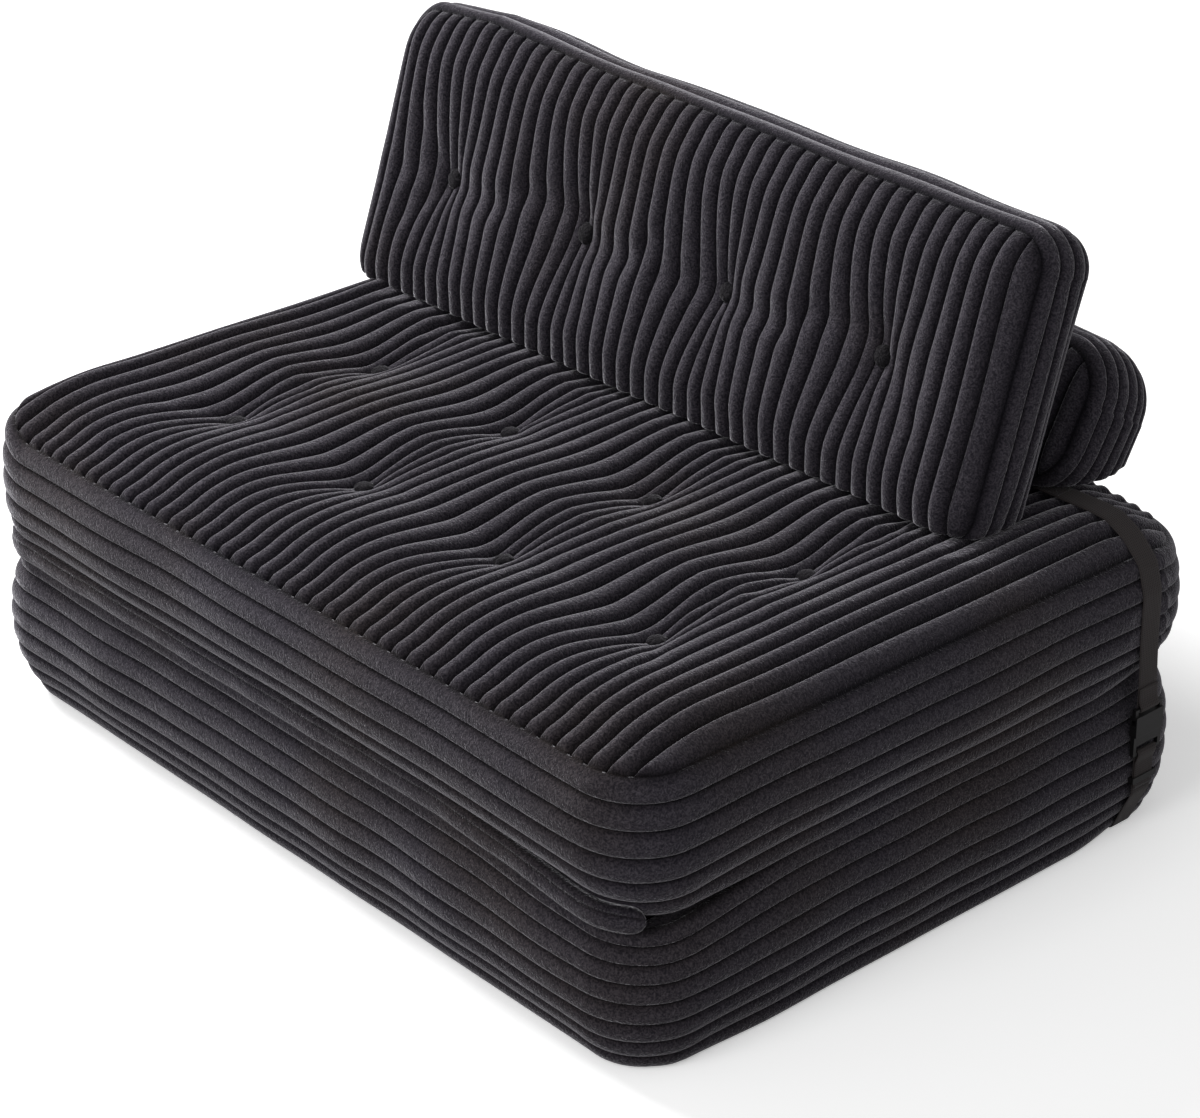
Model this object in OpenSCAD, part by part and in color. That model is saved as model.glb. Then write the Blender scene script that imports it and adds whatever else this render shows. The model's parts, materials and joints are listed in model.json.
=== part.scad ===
// Floor sofa bed: two ribbed foam slabs hinged along their front edge, and two loose back cushions.
// Millimetres. The front faces -Y, +Z is up, and the origin is the middle of the underside.

/* [Base slabs] */
// Width of both slabs
slab_w = 1200; // [1000:10:1600]
// Depth of the lower slab from front to back
lower_d = 880; // [760:10:1100]
// How much further back the seat slab reaches
seat_overhang = 10; // [0:1:30]
// Height of the lower slab
lower_h = 198; // [160:1:240]
// Height of the seat slab's side band, from its underside to its top seam
seat_band_h = 154; // [130:1:190]
// Rise of the seat's crown above its top seam
seat_crown = 36; // [26:1:46]
// Width of the sloping border of the seat's crown at the front and the back
seat_crown_run = 130; // [90:1:170]
// Width of the sloping border of the seat's crown at its two sides
seat_side_run = 44; // [30:1:110]
// Radius of the slab corners seen from above
slab_corner_r = 90; // [70:1:120]
// How far the side bands draw in at the groove and at the floor
band_draw_low = 28; // [18:1:36]
// How far the side band draws in at the top seam
band_draw_high = 12; // [6:1:20]

/* [Ribs] */
// Ribs across the seat, running front to back
seat_ribs = 48; // [36:1:54]
// Depth of the valleys between the panel ribs
panel_rib_depth = 8; // [4:0.5:10]
// Depth of the valleys between the ribs of the side bands
band_rib_depth = 5; // [3:0.5:6]
// Ribs in the lower slab's side band
lower_band_ribs = 8; // [6:2:10]
// Ribs in the seat slab's side band
seat_band_ribs = 6; // [4:2:8]
// Ribs across each back cushion
cushion_ribs = 44; // [34:1:48]
// Ribs in the front cushion's side band
front_band_ribs = 4; // [2:2:6]
// Ribs in the rear cushion's side band
rear_band_ribs = 6; // [2:2:6]

/* [Tufting] */
// Button diameter
button_d = 28; // [22:1:34]
// Button height above its seat
button_h = 8; // [6:0.5:12]
// Depth that a button pulls into the seat
seat_tuft_depth = 18; // [10:1:22]
// Radius of a dip in the seat
seat_tuft_r = 76; // [50:1:100]
// Distance between buttons across the seat
tuft_pitch_x = 251; // [200:1:280]
// Distance between rows of buttons from front to back
tuft_pitch_y = 220; // [180:1:240]
// How far the middle row lies behind the middle of the seat
tuft_shift_y = 10; // [0:1:20]
// Depth that a button pulls into the front cushion
cushion_tuft_depth = 20; // [10:1:22]
// Radius of a dip in the front cushion
cushion_tuft_r = 62; // [45:1:80]
// How far the cushion's buttons lie below its middle
cushion_tuft_drop = 9; // [0:1:20]
// How far the cushion's button row lies to the side of its middle
cushion_tuft_side = 16; // [0:1:25]
// Diameter of a tufting tie
tie_d = 3; // [2:0.5:4]
// Diameter of the washer that anchors a tie
washer_d = 24; // [18:1:30]
// Thickness of the washer
washer_t = 2; // [1.5:0.5:3]

/* [Back cushions] */
// Width of both back cushions
cushion_w = 1110; // [900:10:1300]
// How far the cushions stand to the side of the middle
cushion_side = 70; // [0:1:80]
// Height of the front cushion along its lean
front_h = 384; // [300:1:420]
// Height of the front cushion's side band, across its thickness
front_band_h = 90; // [60:1:100]
// Crown of each face of the front cushion
front_crown = 22; // [10:1:28]
// Lean of the front cushion from upright, in degrees
front_lean = 18.5; // [12:0.5:24]
// Distance from the middle of the seat back to the foot of the front cushion
front_foot_y = 124; // [105:1:150]
// Corner radius of the front cushion's face
front_corner_r = 52; // [40:1:70]
// Height of the rear cushion along its lean
rear_h = 205; // [180:1:230]
// Height of the rear cushion's side band, across its thickness
rear_band_h = 105; // [90:1:115]
// Crown of each face of the rear cushion
rear_crown = 20; // [12:1:24]
// Lean of the rear cushion from upright, in degrees
rear_lean = 30; // [24:1:36]
// Distance from the middle of the seat back to the foot of the rear cushion
rear_foot_y = 280; // [278:1:300]
// Corner radius of the rear cushion's face
rear_corner_r = 78; // [60:1:90]
// How deep the front cushion's foot presses into the seat before it flattens
front_press = 17; // [12:1:22]
// How deep the rear cushion's foot presses into the seat before it flattens
rear_press = 4; // [2:1:8]
// Width of the sloping border of a cushion's crown
cushion_crown_run = 44; // [40:1:80]
// How far the faces of a cushion draw in at their seams
cushion_draw = 14; // [8:1:18]

/* [Straps] */
// Width of the webbing
web_w = 35; // [25:1:40]
// Thickness of the webbing
web_t = 1.8; // [1.2:0.1:2.2]
// Distance of the straps behind the middle of the base
strap_y = 328; // [300:1:340]
// Distance from the side face to the inner end of the webbing on the seat
web_reach = 165; // [140:1:190]
// Height of the buckle's mouth above the floor
buckle_z = 139; // [125:1:150]
// Width of the buckle
buckle_w = 46; // [42:1:52]
// Thickness of the buckle
buckle_t = 10; // [9:0.5:12]
// Height of the keeper loop above the floor
keeper_z = 80; // [70:1:90]

/* [Hinge strip] */
// Thickness of the hinge strip
strip_t = 8; // [5:0.5:10]
// Angle that the strip turns round each front corner
strip_turn = 50; // [20:1:60]

/* [Zips] */
// Length of the zips in the slabs
slab_zip_l = 900; // [700:10:960]
// Length of the zips in the back cushions
cushion_zip_l = 820; // [600:10:900]
// Width of a zip's row of teeth
chain_w = 5; // [4:0.5:6]
// Thickness of a zip's row of teeth
chain_t = 1.8; // [1.4:0.1:2.4]

/* [Hidden] */

// Clearance between soft pieces, and between a cover and its foam
gap = 0.3;
// Overrun of every cut
over = 2;
// Padding of a cover between its foam and the valleys of its ribs
cover_wall = 6;
// Steps in each corner of an outline
corner_steps = 5;
// Steps in each corner of a foam core
core_steps = 2;
// Largest corner radius of a ring as a share of its half depth
round_share = 0.9;
// Turn of the curve that spaces the ribs of a band, in degrees
band_arc = 45;
// Power of the curve that draws a band in
band_power = 2.5;
// Height from a seam to the first row of its panel, and the step inwards
seam_rise = 2;
seam_step = 3;
// Distance from the edge of a panel to its first full rib
rib_shoulder = 30;
// Clearance of a tie and its washer in the foam
thread_gap = 0.5;
// Rim of a button as a share of its height
button_rim_share = 0.35;
// How far the hinge strip's outer face lies inside the front face at the groove
strip_out = 3;
// Thickness of the hinge strip at its sewn edges
strip_edge_t = 3;
// Steps of the hinge strip's curve from the groove to its edge
strip_steps = 4;
// Thickness of a zip slider and of its pull
slider_t = 1.1;
// Slab zip's slider as shares of its row of teeth's width: plate width, plate length, pull length
plate_w_share = 1.8;
plate_l_share = 3;
pull_l_share = 5;
// Cushion zip's slider: plate length as a share of its width, and pull length as a share of the plate's
foot_plate_share = 1.5;
foot_pull_share = 1.4;
// Least share of its width that a mitred corner of the webbing keeps
mitre_share = 0.6;
// Height of the lower webbing's root as a share of the lowest rib's, and its run towards that rib
web_root_share = 0.6;
// Reach of the plug's guide as a share of the socket's height
guide_share = 0.7;
// Wall and height of the strap's keeper loop
keeper_t = 1.4;
keeper_h = 8;
// Height of the buckle's socket, its side and end walls, and its faces
socket_h = 26;
socket_wall = 3;
socket_skin = 2;
// Height of the loop that carries the webbing, and of the bar across it
loop_h = 10;
bar_h = 4;
// Faces of both bars as shares of the buckle's thickness
bar_near_share = 0.42;
bar_far_share = 0.77;
// Windows in the socket's sides, measured from its mouth
window_low = 11.6;
window_high = 21.5;
// Height of the plug below the socket's mouth, and width of its middle guide
plug_h = 25;
guide_w = 7;
// Sprung arms of the plug: distance from the middle line, and width
arm_y = 11;
arm_w = 4;

plush = [0.17, 0.165, 0.175];
plush_dark = [0.13, 0.128, 0.135];
foam = [0.86, 0.82, 0.62];
thread = [0.2, 0.2, 0.2];
webbing = [0.11, 0.11, 0.115];
plastic = [0.05, 0.05, 0.055];
metal = [0.3, 0.3, 0.32];

seat_z = lower_h + gap;
seat_seam_z = seat_z + seat_band_h;
seat_top = seat_seam_z + seat_crown;
seat_d = lower_d + seat_overhang;
seat_mid_y = seat_overhang / 2;
side_x = slab_w / 2;
front_y = -lower_d / 2;

// Outline of a rounded rectangle, anticlockwise from the right side
function outline(half_x, half_y, r, steps) =
    [for (q = [0:3]) for (k = [0:steps])
        let (a = 90 * q + 90 * k / steps,
             sx = (q == 0 || q == 3) ? 1 : -1,
             sy = q < 2 ? 1 : -1)
        [sx * (half_x - r) + r * cos(a), sy * (half_y - r) + r * sin(a)]];

function ring(half_x, half_y, r, inset, z, steps) =
    let (corner_r = min(max(r - inset, r / 2), (half_y - inset) * round_share))
    [for (p = outline(half_x - inset, half_y - inset, corner_r, steps)) [p[0], p[1], z]];

// Place of a rib line on a band, from -1 at its lower seam to 1 at its upper seam
function band_place(u) = sin(band_arc * u) / sin(band_arc);
function band_inset(u, low, high) = (u < 0 ? low : high) * pow(abs(band_place(u)), band_power);

// Rings of a ribbed band, a valley at each seam
function band_rings(half_x, half_y, r, h, ribs, low, high) =
    [for (k = [0:2 * ribs])
        let (u = k / ribs - 1,
             valley = k % 2 == 0 ? band_rib_depth : 0)
        ring(half_x, half_y, r, band_inset(u, low, high) + valley, h / 2 * (1 + band_place(u)),
            corner_steps)];

// Rings of a crowned back panel under a band, from its middle outwards
function back_rings(half_x, half_y, r, low, crown, run) =
    [for (s = [1, 1 / 2])
        ring(half_x, half_y, r, low + band_rib_depth + run * s, -crown * crown_rise(run * s, run),
            corner_steps)];

// Crown of a panel at a distance from its edge
function crown_rise(d, run) = 1 - pow(1 - min(1, max(0, d) / run), 2);

// Depth of the nearest tuft at a point
function tuft_at(x, y, tufts, r_x, r_y) =
    len(tufts) == 0 ? 0 :
    max([for (t = tufts)
        pow(cos(90 * min(1, abs(x - t[0]) / r_x)), 2) * max(0, 1 - abs(y - t[1]) / r_y)]);

// Half depth of a panel at one of its columns
function column_reach(x, half_x, half_y, r) =
    abs(x) <= half_x - r ? half_y :
    half_y - r + sqrt(max(0, r * r - pow(abs(x) - (half_x - r), 2)));

// Height of a panel above its seam; runs holds the widths of its sloping borders across x and y
function panel_z(x, y, half_x, half_y, r, column, crown, runs, tufts, depth, r_x, r_y) =
    let (dx = half_x - abs(x),
         dy = column_reach(x, half_x, half_y, r) - abs(y),
         edge = min(1, max(0, min(dx + rib_shoulder / 2, dy)) / rib_shoulder),
         valley = column % 2 == 0 ? panel_rib_depth * edge : 0)
    seam_rise + (crown - seam_rise) * crown_rise(dx + seam_step, runs[0]) * crown_rise(dy, runs[1])
        - valley * min(1, crown_rise(dx + seam_step, runs[0]) * 2) - depth * tuft_at(x, y, tufts, r_x, r_y);

// Number of the outline point that a panel's edge point is joined to
function outline_mate(x, y, half_x, half_y, r, steps) =
    let (ex = abs(x) - (half_x - r),
         ey = abs(y) - (half_y - r),
         a = ex <= 0 ? 90 : ey <= 0 ? 0 : atan2(ey, ex),
         q = y >= 0 ? (x > 0 ? 0 : 1) : (x > 0 ? 3 : 2),
         k = (q == 0 || q == 2) ? a : 90 - a)
    q * (steps + 1) + round(steps * k / 90);

// Edge of a panel's grid, anticlockwise from its right rear corner, as [column, row]
function grid_edge(cols, rows) = concat(
    [for (i = [cols:-1:0]) [i, rows]],
    [for (j = [rows - 1:-1:0]) [0, j]],
    [for (i = [1:cols]) [i, 0]],
    [for (j = [1:1:rows - 1]) [cols, j]]);

// One closed form: rings from the bottom up, then a ribbed panel on a grid
module ribbed_form(rings, half_x, half_y, r, seam_z, ribs, lines, crown, runs, tufts, depth, r_x, r_y) {
    n = 4 * (corner_steps + 1);
    cols = 2 * ribs;
    rows = len(lines) - 1;
    base = len(rings) * n;
    panel = [for (i = [0:cols]) for (j = [0:rows])
        let (x = -half_x + 2 * half_x * i / cols,
             y = lines[j] * column_reach(x, half_x, half_y, r))
        [x, y, seam_z + panel_z(x, y, half_x, half_y, r, i, crown, runs, tufts, depth, r_x, r_y)]];
    edge = grid_edge(cols, rows);
    mates = [for (e = edge)
        let (p = panel[e[0] * (rows + 1) + e[1]])
        outline_mate(p[0], p[1], half_x, half_y, r, corner_steps)];
    last = (len(rings) - 1) * n;
    turns = [for (k = [0:len(edge) - 1])
        let (next = (k + 1) % len(edge),
             from = mates[k],
             to = mates[next] < mates[k] ? mates[next] + n : mates[next])
        [base + edge[k][0] * (rows + 1) + edge[k][1],
         base + edge[next][0] * (rows + 1) + edge[next][1], from, to]];
    faces = concat(
        [for (i = [1:n - 2]) [0, i, i + 1]],
        [for (k = [0:len(rings) - 2]) for (i = [0:n - 1])
            let (a = k * n + i, b = k * n + (i + 1) % n)
            [b + n, b, a]],
        [for (k = [0:len(rings) - 2]) for (i = [0:n - 1])
            let (a = k * n + i, b = k * n + (i + 1) % n)
            [a + n, b + n, a]],
        [for (t = turns) [last + t[2] % n, t[0], t[1]]],
        [for (t = turns) if (t[3] > t[2]) for (m = [t[2]:t[3] - 1])
            [t[1], last + (m + 1) % n, last + m % n]],
        [for (i = [0:cols - 1]) for (j = [0:rows - 1])
            let (a = base + i * (rows + 1) + j, b = a + rows + 1)
            [b + 1, b, a]],
        [for (i = [0:cols - 1]) for (j = [0:rows - 1])
            let (a = base + i * (rows + 1) + j, b = a + rows + 1)
            [a + 1, b + 1, a]]);
    polyhedron(concat([for (g = rings) each g], panel), faces, convexity = 10);
}

// One closed form from rings alone, with flat ends
module ring_form(rings) {
    n = len(rings[0]);
    top = (len(rings) - 1) * n;
    faces = concat(
        [for (i = [1:n - 2]) [0, i, i + 1]],
        [for (i = [1:n - 2]) [top, top + i + 1, top + i]],
        [for (k = [0:len(rings) - 2]) for (i = [0:n - 1])
            let (a = k * n + i, b = k * n + (i + 1) % n)
            [b + n, b, a]],
        [for (k = [0:len(rings) - 2]) for (i = [0:n - 1])
            let (a = k * n + i, b = k * n + (i + 1) % n)
            [a + n, b + n, a]]);
    polyhedron([for (g = rings) each g], faces, convexity = 6);
}

// Rows of the seat's panel, as shares of its half depth: seams, shoulders, button rows and crests
seat_half_x = side_x - band_draw_high - band_rib_depth - seam_step;
seat_half_y = seat_d / 2 - band_draw_high - band_rib_depth - seam_step;
seat_panel_r = slab_corner_r - band_draw_high - band_rib_depth - seam_step;
seat_row_y = [for (k = [-1:1]) tuft_shift_y + k * tuft_pitch_y];
seat_lines = [-1, -1 + rib_shoulder / seat_half_y,
    seat_row_y[0] / seat_half_y, (seat_row_y[0] + seat_row_y[1]) / 2 / seat_half_y,
    seat_row_y[1] / seat_half_y, (seat_row_y[1] + seat_row_y[2]) / 2 / seat_half_y,
    seat_row_y[2] / seat_half_y, 1 - rib_shoulder / seat_half_y, 1];
seat_runs = [seat_side_run, seat_crown_run];
seat_tufts = [for (k = [-1.5:1.5]) for (y = seat_row_y) [k * tuft_pitch_x, y]];

module seat_form() {
    translate([0, seat_mid_y, seat_z])
        ribbed_form(
            band_rings(side_x, seat_d / 2, slab_corner_r, seat_band_h, seat_band_ribs,
                band_draw_low, band_draw_high),
            seat_half_x, seat_half_y, seat_panel_r, seat_band_h, seat_ribs, seat_lines,
            seat_crown, seat_runs, seat_tufts, seat_tuft_depth, seat_tuft_r, tuft_pitch_y / 2);
}

// Foam core: a softly chamfered block that keeps the cover's padding all round
function core_rings(half_x, half_y, r, h, low, high, roof, roof_run, extra) =
    let (wall = cover_wall + band_rib_depth + extra)
    [ring(half_x, half_y, r, low + wall, cover_wall + extra, core_steps),
     ring(half_x, half_y, r, low / 4 + wall, h / 4, core_steps),
     ring(half_x, half_y, r, high / 4 + wall, h * 3 / 4, core_steps),
     ring(half_x, half_y, r, high + wall + roof_run / 4, min(h, roof - cover_wall) - extra, core_steps),
     ring(half_x, half_y, r, high + wall + roof_run, roof - extra, core_steps)];

seat_roof = seat_band_h + seat_crown - panel_rib_depth - seat_tuft_depth - cover_wall / 2;

module seat_core(extra) {
    translate([0, seat_mid_y, seat_z])
        ring_form(core_rings(side_x, seat_d / 2, slab_corner_r, seat_band_h,
            band_draw_low, band_draw_high, seat_roof, seat_crown_run / 3, extra));
}

module lower_core(extra) {
    ring_form(core_rings(side_x, lower_d / 2, slab_corner_r, lower_h - cover_wall,
        band_draw_low, band_draw_low / 2, lower_h - cover_wall, band_draw_low / 2, extra));
}

module lower_cover() {
    color(plush)
        difference() {
            ring_form(band_rings(side_x, lower_d / 2, slab_corner_r, lower_h, lower_band_ribs,
                band_draw_low, band_draw_low));
            lower_core(0);
        }
}

module lower_foam_core() {
    color(foam) lower_core(gap);
}

module seat_cover() {
    color(plush)
        difference() {
            seat_form();
            seat_core(0);
        }
}

module seat_foam_core() {
    color(foam)
        difference() {
            seat_core(gap);
            for (t = seat_tufts)
                translate([t[0], t[1] + seat_mid_y, seat_z])
                    tie_hole(cover_wall + gap, seat_roof);
        }
}

// Thread hole through the foam, with a pocket for the washer at its lower end
module tie_hole(floor_z, roof_z) {
    translate([0, 0, floor_z - over])
        cylinder(d = tie_d + 2 * thread_gap, h = roof_z - floor_z + 2 * over, $fn = 8);
    translate([0, 0, floor_z - over])
        cylinder(d = washer_d + 2 * thread_gap, h = washer_t + gap + over, $fn = 12);
}

// Covered button: a domed cap on a flat disc
module button() {
    rim = button_h * button_rim_share;
    cylinder(d = button_d, h = rim, $fn = 24);
    translate([0, 0, rim])
        scale_dome(button_d / 2, button_h - rim);
}

// Dome of a given base radius and height, turned from a circular arc
module scale_dome(r, h) {
    ball = (r * r + h * h) / (2 * h);
    translate([0, 0, h - ball])
        rotate_extrude($fn = 24)
            intersection() {
                circle(r = ball, $fn = 32);
                translate([0, ball - h])
                    square([r, h]);
            }
}

// Height above the seam at which a button clears the crests under it and the ribs at its sides
function tuft_seat(t, half_x, half_y, r, ribs, crown, runs, tufts, depth, r_x, r_y) =
    let (pitch = 2 * half_x / ribs,
         crests = [for (k = [0:ribs - 1])
             let (x = (k + 1 / 2) * pitch - half_x,
                  reach = pow(button_d / 2, 2) - pow(x - t[0], 2))
             if (reach >= 0) for (s = [-1, 1])
                 panel_z(x, t[1] + s * sqrt(reach), half_x, half_y, r, 1,
                     crown, runs, tufts, depth, r_x, r_y)],
         sides = [for (s = [-1, 1])
             let (x = t[0] + s * button_d / 2,
                  place = (x + half_x) / pitch,
                  low = abs(2 * (place - floor(place)) - 1))
             low * panel_z(x, t[1], half_x, half_y, r, 0, crown, runs, tufts, depth, r_x, r_y)
                 + (1 - low) * panel_z(x, t[1], half_x, half_y, r, 1, crown, runs, tufts, depth, r_x, r_y)])
    gap + max(concat(crests, sides));

module seat_buttons() {
    color(plush_dark)
        for (t = seat_tufts)
            translate([t[0], t[1] + seat_mid_y, seat_seam_z + tuft_seat(t, seat_half_x, seat_half_y,
                seat_panel_r, seat_ribs, seat_crown, seat_runs, seat_tufts, seat_tuft_depth,
                seat_tuft_r, tuft_pitch_y / 2)])
                button();
}

module seat_tufting_ties() {
    color(thread)
        for (t = seat_tufts)
            translate([t[0], t[1] + seat_mid_y, seat_z + cover_wall + washer_t])
                cylinder(d = tie_d, h = seat_roof - cover_wall - washer_t, $fn = 8);
}

module seat_tuft_washers() {
    color(plastic)
        for (t = seat_tufts)
            translate([t[0], t[1] + seat_mid_y, seat_z + cover_wall])
                cylinder(d = washer_d, h = washer_t, $fn = 12);
}

// Half of the fabric hinge strip: from the groove to the first valley of the slab's band
module strip_half(groove_z, edge_z, edge_inset) {
    profile = concat(
        [for (k = [0:strip_steps])
            [strip_out + (edge_inset - gap - strip_edge_t - strip_out) * pow(k / strip_steps, 2),
             groove_z + (edge_z - groove_z) * k / strip_steps]],
        [[edge_inset - gap, edge_z], [strip_out + strip_t, groove_z]]);
    reach = side_x - slab_corner_r;
    translate([-reach, front_y, 0])
        rotate([90, 0, 90])
            linear_extrude(2 * reach)
                polygon(profile);
    for (s = [0, 1])
        mirror([s, 0, 0])
            translate([reach, front_y + slab_corner_r, 0])
                rotate([0, 0, -90])
                    rotate_extrude(angle = strip_turn, $fn = 64)
                        polygon([for (p = profile) [slab_corner_r - p[0], p[1]]]);
}

// Height and inset of a rib line on the side of a slab: even numbers are valleys, odd ones crests
function line_z(k, ribs, h) = h / 2 * (1 + band_place(k / ribs - 1));
function line_inset(k, ribs, low, high) =
    band_inset(k / ribs - 1, low, high) + (k % 2 == 0 ? band_rib_depth : 0);

module hinge_strip_lower() {
    k = 2 * lower_band_ribs - 2;
    color(plush)
        strip_half(lower_h, line_z(k, lower_band_ribs, lower_h),
            line_inset(k, lower_band_ribs, band_draw_low, band_draw_low));
}

module hinge_strip_upper() {
    color(plush)
        strip_half(seat_z, seat_z + line_z(2, seat_band_ribs, seat_band_h),
            line_inset(2, seat_band_ribs, band_draw_low, band_draw_high));
}

// Back cushions: each is modelled lying down, its front face up, then stood on its foot
module stand_cushion(foot_y, foot_z, lean, h, thickness) {
    translate([-cushion_side, foot_y, foot_z])
        rotate([90 - lean, 0, 0])
            translate([0, h / 2, -thickness])
                children();
}

// Distance from a cushion's fullest outline to its panel's first column
panel_inset = cushion_draw + band_rib_depth + seam_step;
cushion_runs = [cushion_crown_run, cushion_crown_run];

module cushion_form(h, r, band_h, band_ribs, crown, lines, tufts, depth) {
    translate([0, 0, crown])
        ribbed_form(
            concat(
                back_rings(cushion_w / 2, h / 2, r, cushion_draw, crown, cushion_crown_run),
                band_rings(cushion_w / 2, h / 2, r, band_h, band_ribs, cushion_draw, cushion_draw)),
            cushion_w / 2 - panel_inset, h / 2 - panel_inset, r - panel_inset, band_h, cushion_ribs, lines,
            crown, cushion_runs, tufts, depth, cushion_tuft_r, (h / 2 - panel_inset) / 2);
}

module cushion_core(h, r, band_h, crown, roof, extra) {
    translate([0, 0, crown])
        ring_form(core_rings(cushion_w / 2, h / 2, r, band_h, cushion_draw, cushion_draw,
            roof, cushion_crown_run / 2, extra));
}

// Everything above a height, for the flat foot of a cushion
module above(z) {
    translate([-slab_w, -slab_w, z])
        cube([2 * slab_w, 2 * slab_w, slab_w]);
}

// Groove for the zip in a cushion's flat foot
groove_w = chain_w * 2;
groove_deep = chain_t + slider_t + 2 * gap;

module foot_groove(y, z) {
    translate([-cushion_side - cushion_zip_l / 2 - groove_w, y - groove_w / 2, z - over])
        cube([cushion_zip_l + 2 * groove_w, groove_w, groove_deep + over]);
}

module foot_chain(y, z) {
    translate([-cushion_side - cushion_zip_l / 2, y - chain_w / 2, z + groove_deep - chain_t])
        cube([cushion_zip_l, chain_w, chain_t]);
}

// Slider of a foot zip: a plate below the teeth with a flat pull beside it
module foot_slider(y, z) {
    plate_w = groove_w - 4 * gap;
    plate_l = plate_w * foot_plate_share;
    pull_l = plate_l * foot_pull_share;
    translate([cushion_zip_l / 2 - cushion_side - plate_l, y - plate_w / 2, z + gap])
        cube([plate_l, plate_w, slider_t]);
    translate([cushion_zip_l / 2 - cushion_side - plate_l - pull_l, y - plate_w / 4, z + gap])
        cube([pull_l, plate_w / 2, slider_t]);
}

front_t = front_band_h + 2 * front_crown;
front_foot_z = seat_top - front_press;
front_cut = seat_top + gap;
front_panel_x = cushion_w / 2 - panel_inset;
front_panel_y = front_h / 2 - panel_inset;
front_row = -cushion_tuft_drop;
front_lines = [-1, -1 + rib_shoulder / front_panel_y, (-front_panel_y + front_row) / 2 / front_panel_y,
    front_row / front_panel_y, (front_panel_y + front_row) / 2 / front_panel_y,
    1 - rib_shoulder / front_panel_y, 1];
front_tufts = [for (k = [-1.5:1.5]) [k * tuft_pitch_x - cushion_tuft_side, front_row]];
front_roof = front_band_h + front_crown - panel_rib_depth - cushion_tuft_depth - cover_wall / 2;
front_zip_y = front_foot_y + front_t / 2 * cos(front_lean) + front_press * sin(front_lean);

module front_place() {
    stand_cushion(front_foot_y, front_foot_z, front_lean, front_h, front_t)
        children();
}

module front_core(extra) {
    intersection() {
        front_place()
            cushion_core(front_h, front_corner_r, front_band_h, front_crown, front_roof, extra);
        above(front_cut + cover_wall + extra);
    }
}

module front_cushion_cover() {
    color(plush)
        difference() {
            front_place()
                cushion_form(front_h, front_corner_r, front_band_h, front_band_ribs, front_crown,
                    front_lines, front_tufts, cushion_tuft_depth);
            translate([0, 0, front_cut - slab_w])
                above(0);
            front_core(0);
            foot_groove(front_zip_y, front_cut);
        }
}

module front_cushion_foam() {
    color(foam)
        difference() {
            front_core(gap);
            front_place()
                for (t = front_tufts)
                    translate([t[0], t[1], front_crown])
                        tie_hole(cover_wall + gap, front_roof);
        }
}

module front_cushion_buttons() {
    color(plush_dark)
        front_place()
            for (t = front_tufts)
                translate([t[0], t[1], front_crown + front_band_h + tuft_seat(t, front_panel_x,
                    front_panel_y, front_corner_r - panel_inset, cushion_ribs, front_crown,
                    cushion_runs, front_tufts, cushion_tuft_depth, cushion_tuft_r,
                    front_panel_y / 2)])
                    button();
}

module front_cushion_ties() {
    color(thread)
        front_place()
            for (t = front_tufts)
                translate([t[0], t[1], front_crown + cover_wall + washer_t])
                    cylinder(d = tie_d, h = front_roof - cover_wall - washer_t, $fn = 8);
}

module front_cushion_washers() {
    color(plastic)
        front_place()
            for (t = front_tufts)
                translate([t[0], t[1], front_crown + cover_wall])
                    cylinder(d = washer_d, h = washer_t, $fn = 12);
}

module front_cushion_zip_chain() {
    color(plastic) foot_chain(front_zip_y, front_cut);
}

module front_cushion_zip_slider() {
    color(metal) foot_slider(front_zip_y, front_cut);
}

rear_t = rear_band_h + 2 * rear_crown;
rear_foot_z = seat_top - rear_press;
rear_cut = seat_top + web_t + 2 * gap;
rear_panel_y = rear_h / 2 - panel_inset;
rear_lines = [-1, -1 + rib_shoulder / rear_panel_y, 0, 1 - rib_shoulder / rear_panel_y, 1];
rear_roof = rear_band_h + rear_crown / 2 - cover_wall;
rear_zip_y = rear_foot_y + rear_t / 2 * cos(rear_lean) + rear_press * sin(rear_lean);

module rear_place() {
    stand_cushion(rear_foot_y, rear_foot_z, rear_lean, rear_h, rear_t)
        children();
}

module rear_core(extra) {
    intersection() {
        rear_place()
            cushion_core(rear_h, rear_corner_r, rear_band_h, rear_crown, rear_roof, extra);
        above(rear_cut + cover_wall + extra);
    }
}

module rear_cushion_cover() {
    color(plush)
        difference() {
            rear_place()
                cushion_form(rear_h, rear_corner_r, rear_band_h, rear_band_ribs, rear_crown,
                    rear_lines, [], 0);
            translate([0, 0, rear_cut - slab_w])
                above(0);
            rear_core(0);
            foot_groove(rear_zip_y, rear_cut);
        }
}

module rear_cushion_foam() {
    color(foam) rear_core(gap);
}

module rear_cushion_zip_chain() {
    color(plastic) foot_chain(rear_zip_y, rear_cut);
}

module rear_cushion_zip_slider() {
    color(metal) foot_slider(rear_zip_y, rear_cut);
}

// Zips of the slabs lie in the middle valley of the rear band
function chain_inset(ribs, h) =
    band_rib_depth * (1 - chain_w / 2 / (h / 2 * band_place(1 / ribs))) - gap;

module slab_chain(rear_y, mid_z, ribs, h) {
    translate([-slab_zip_l / 2, rear_y - chain_inset(ribs, h), mid_z - chain_w / 2])
        cube([slab_zip_l, chain_t, chain_w]);
}

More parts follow.
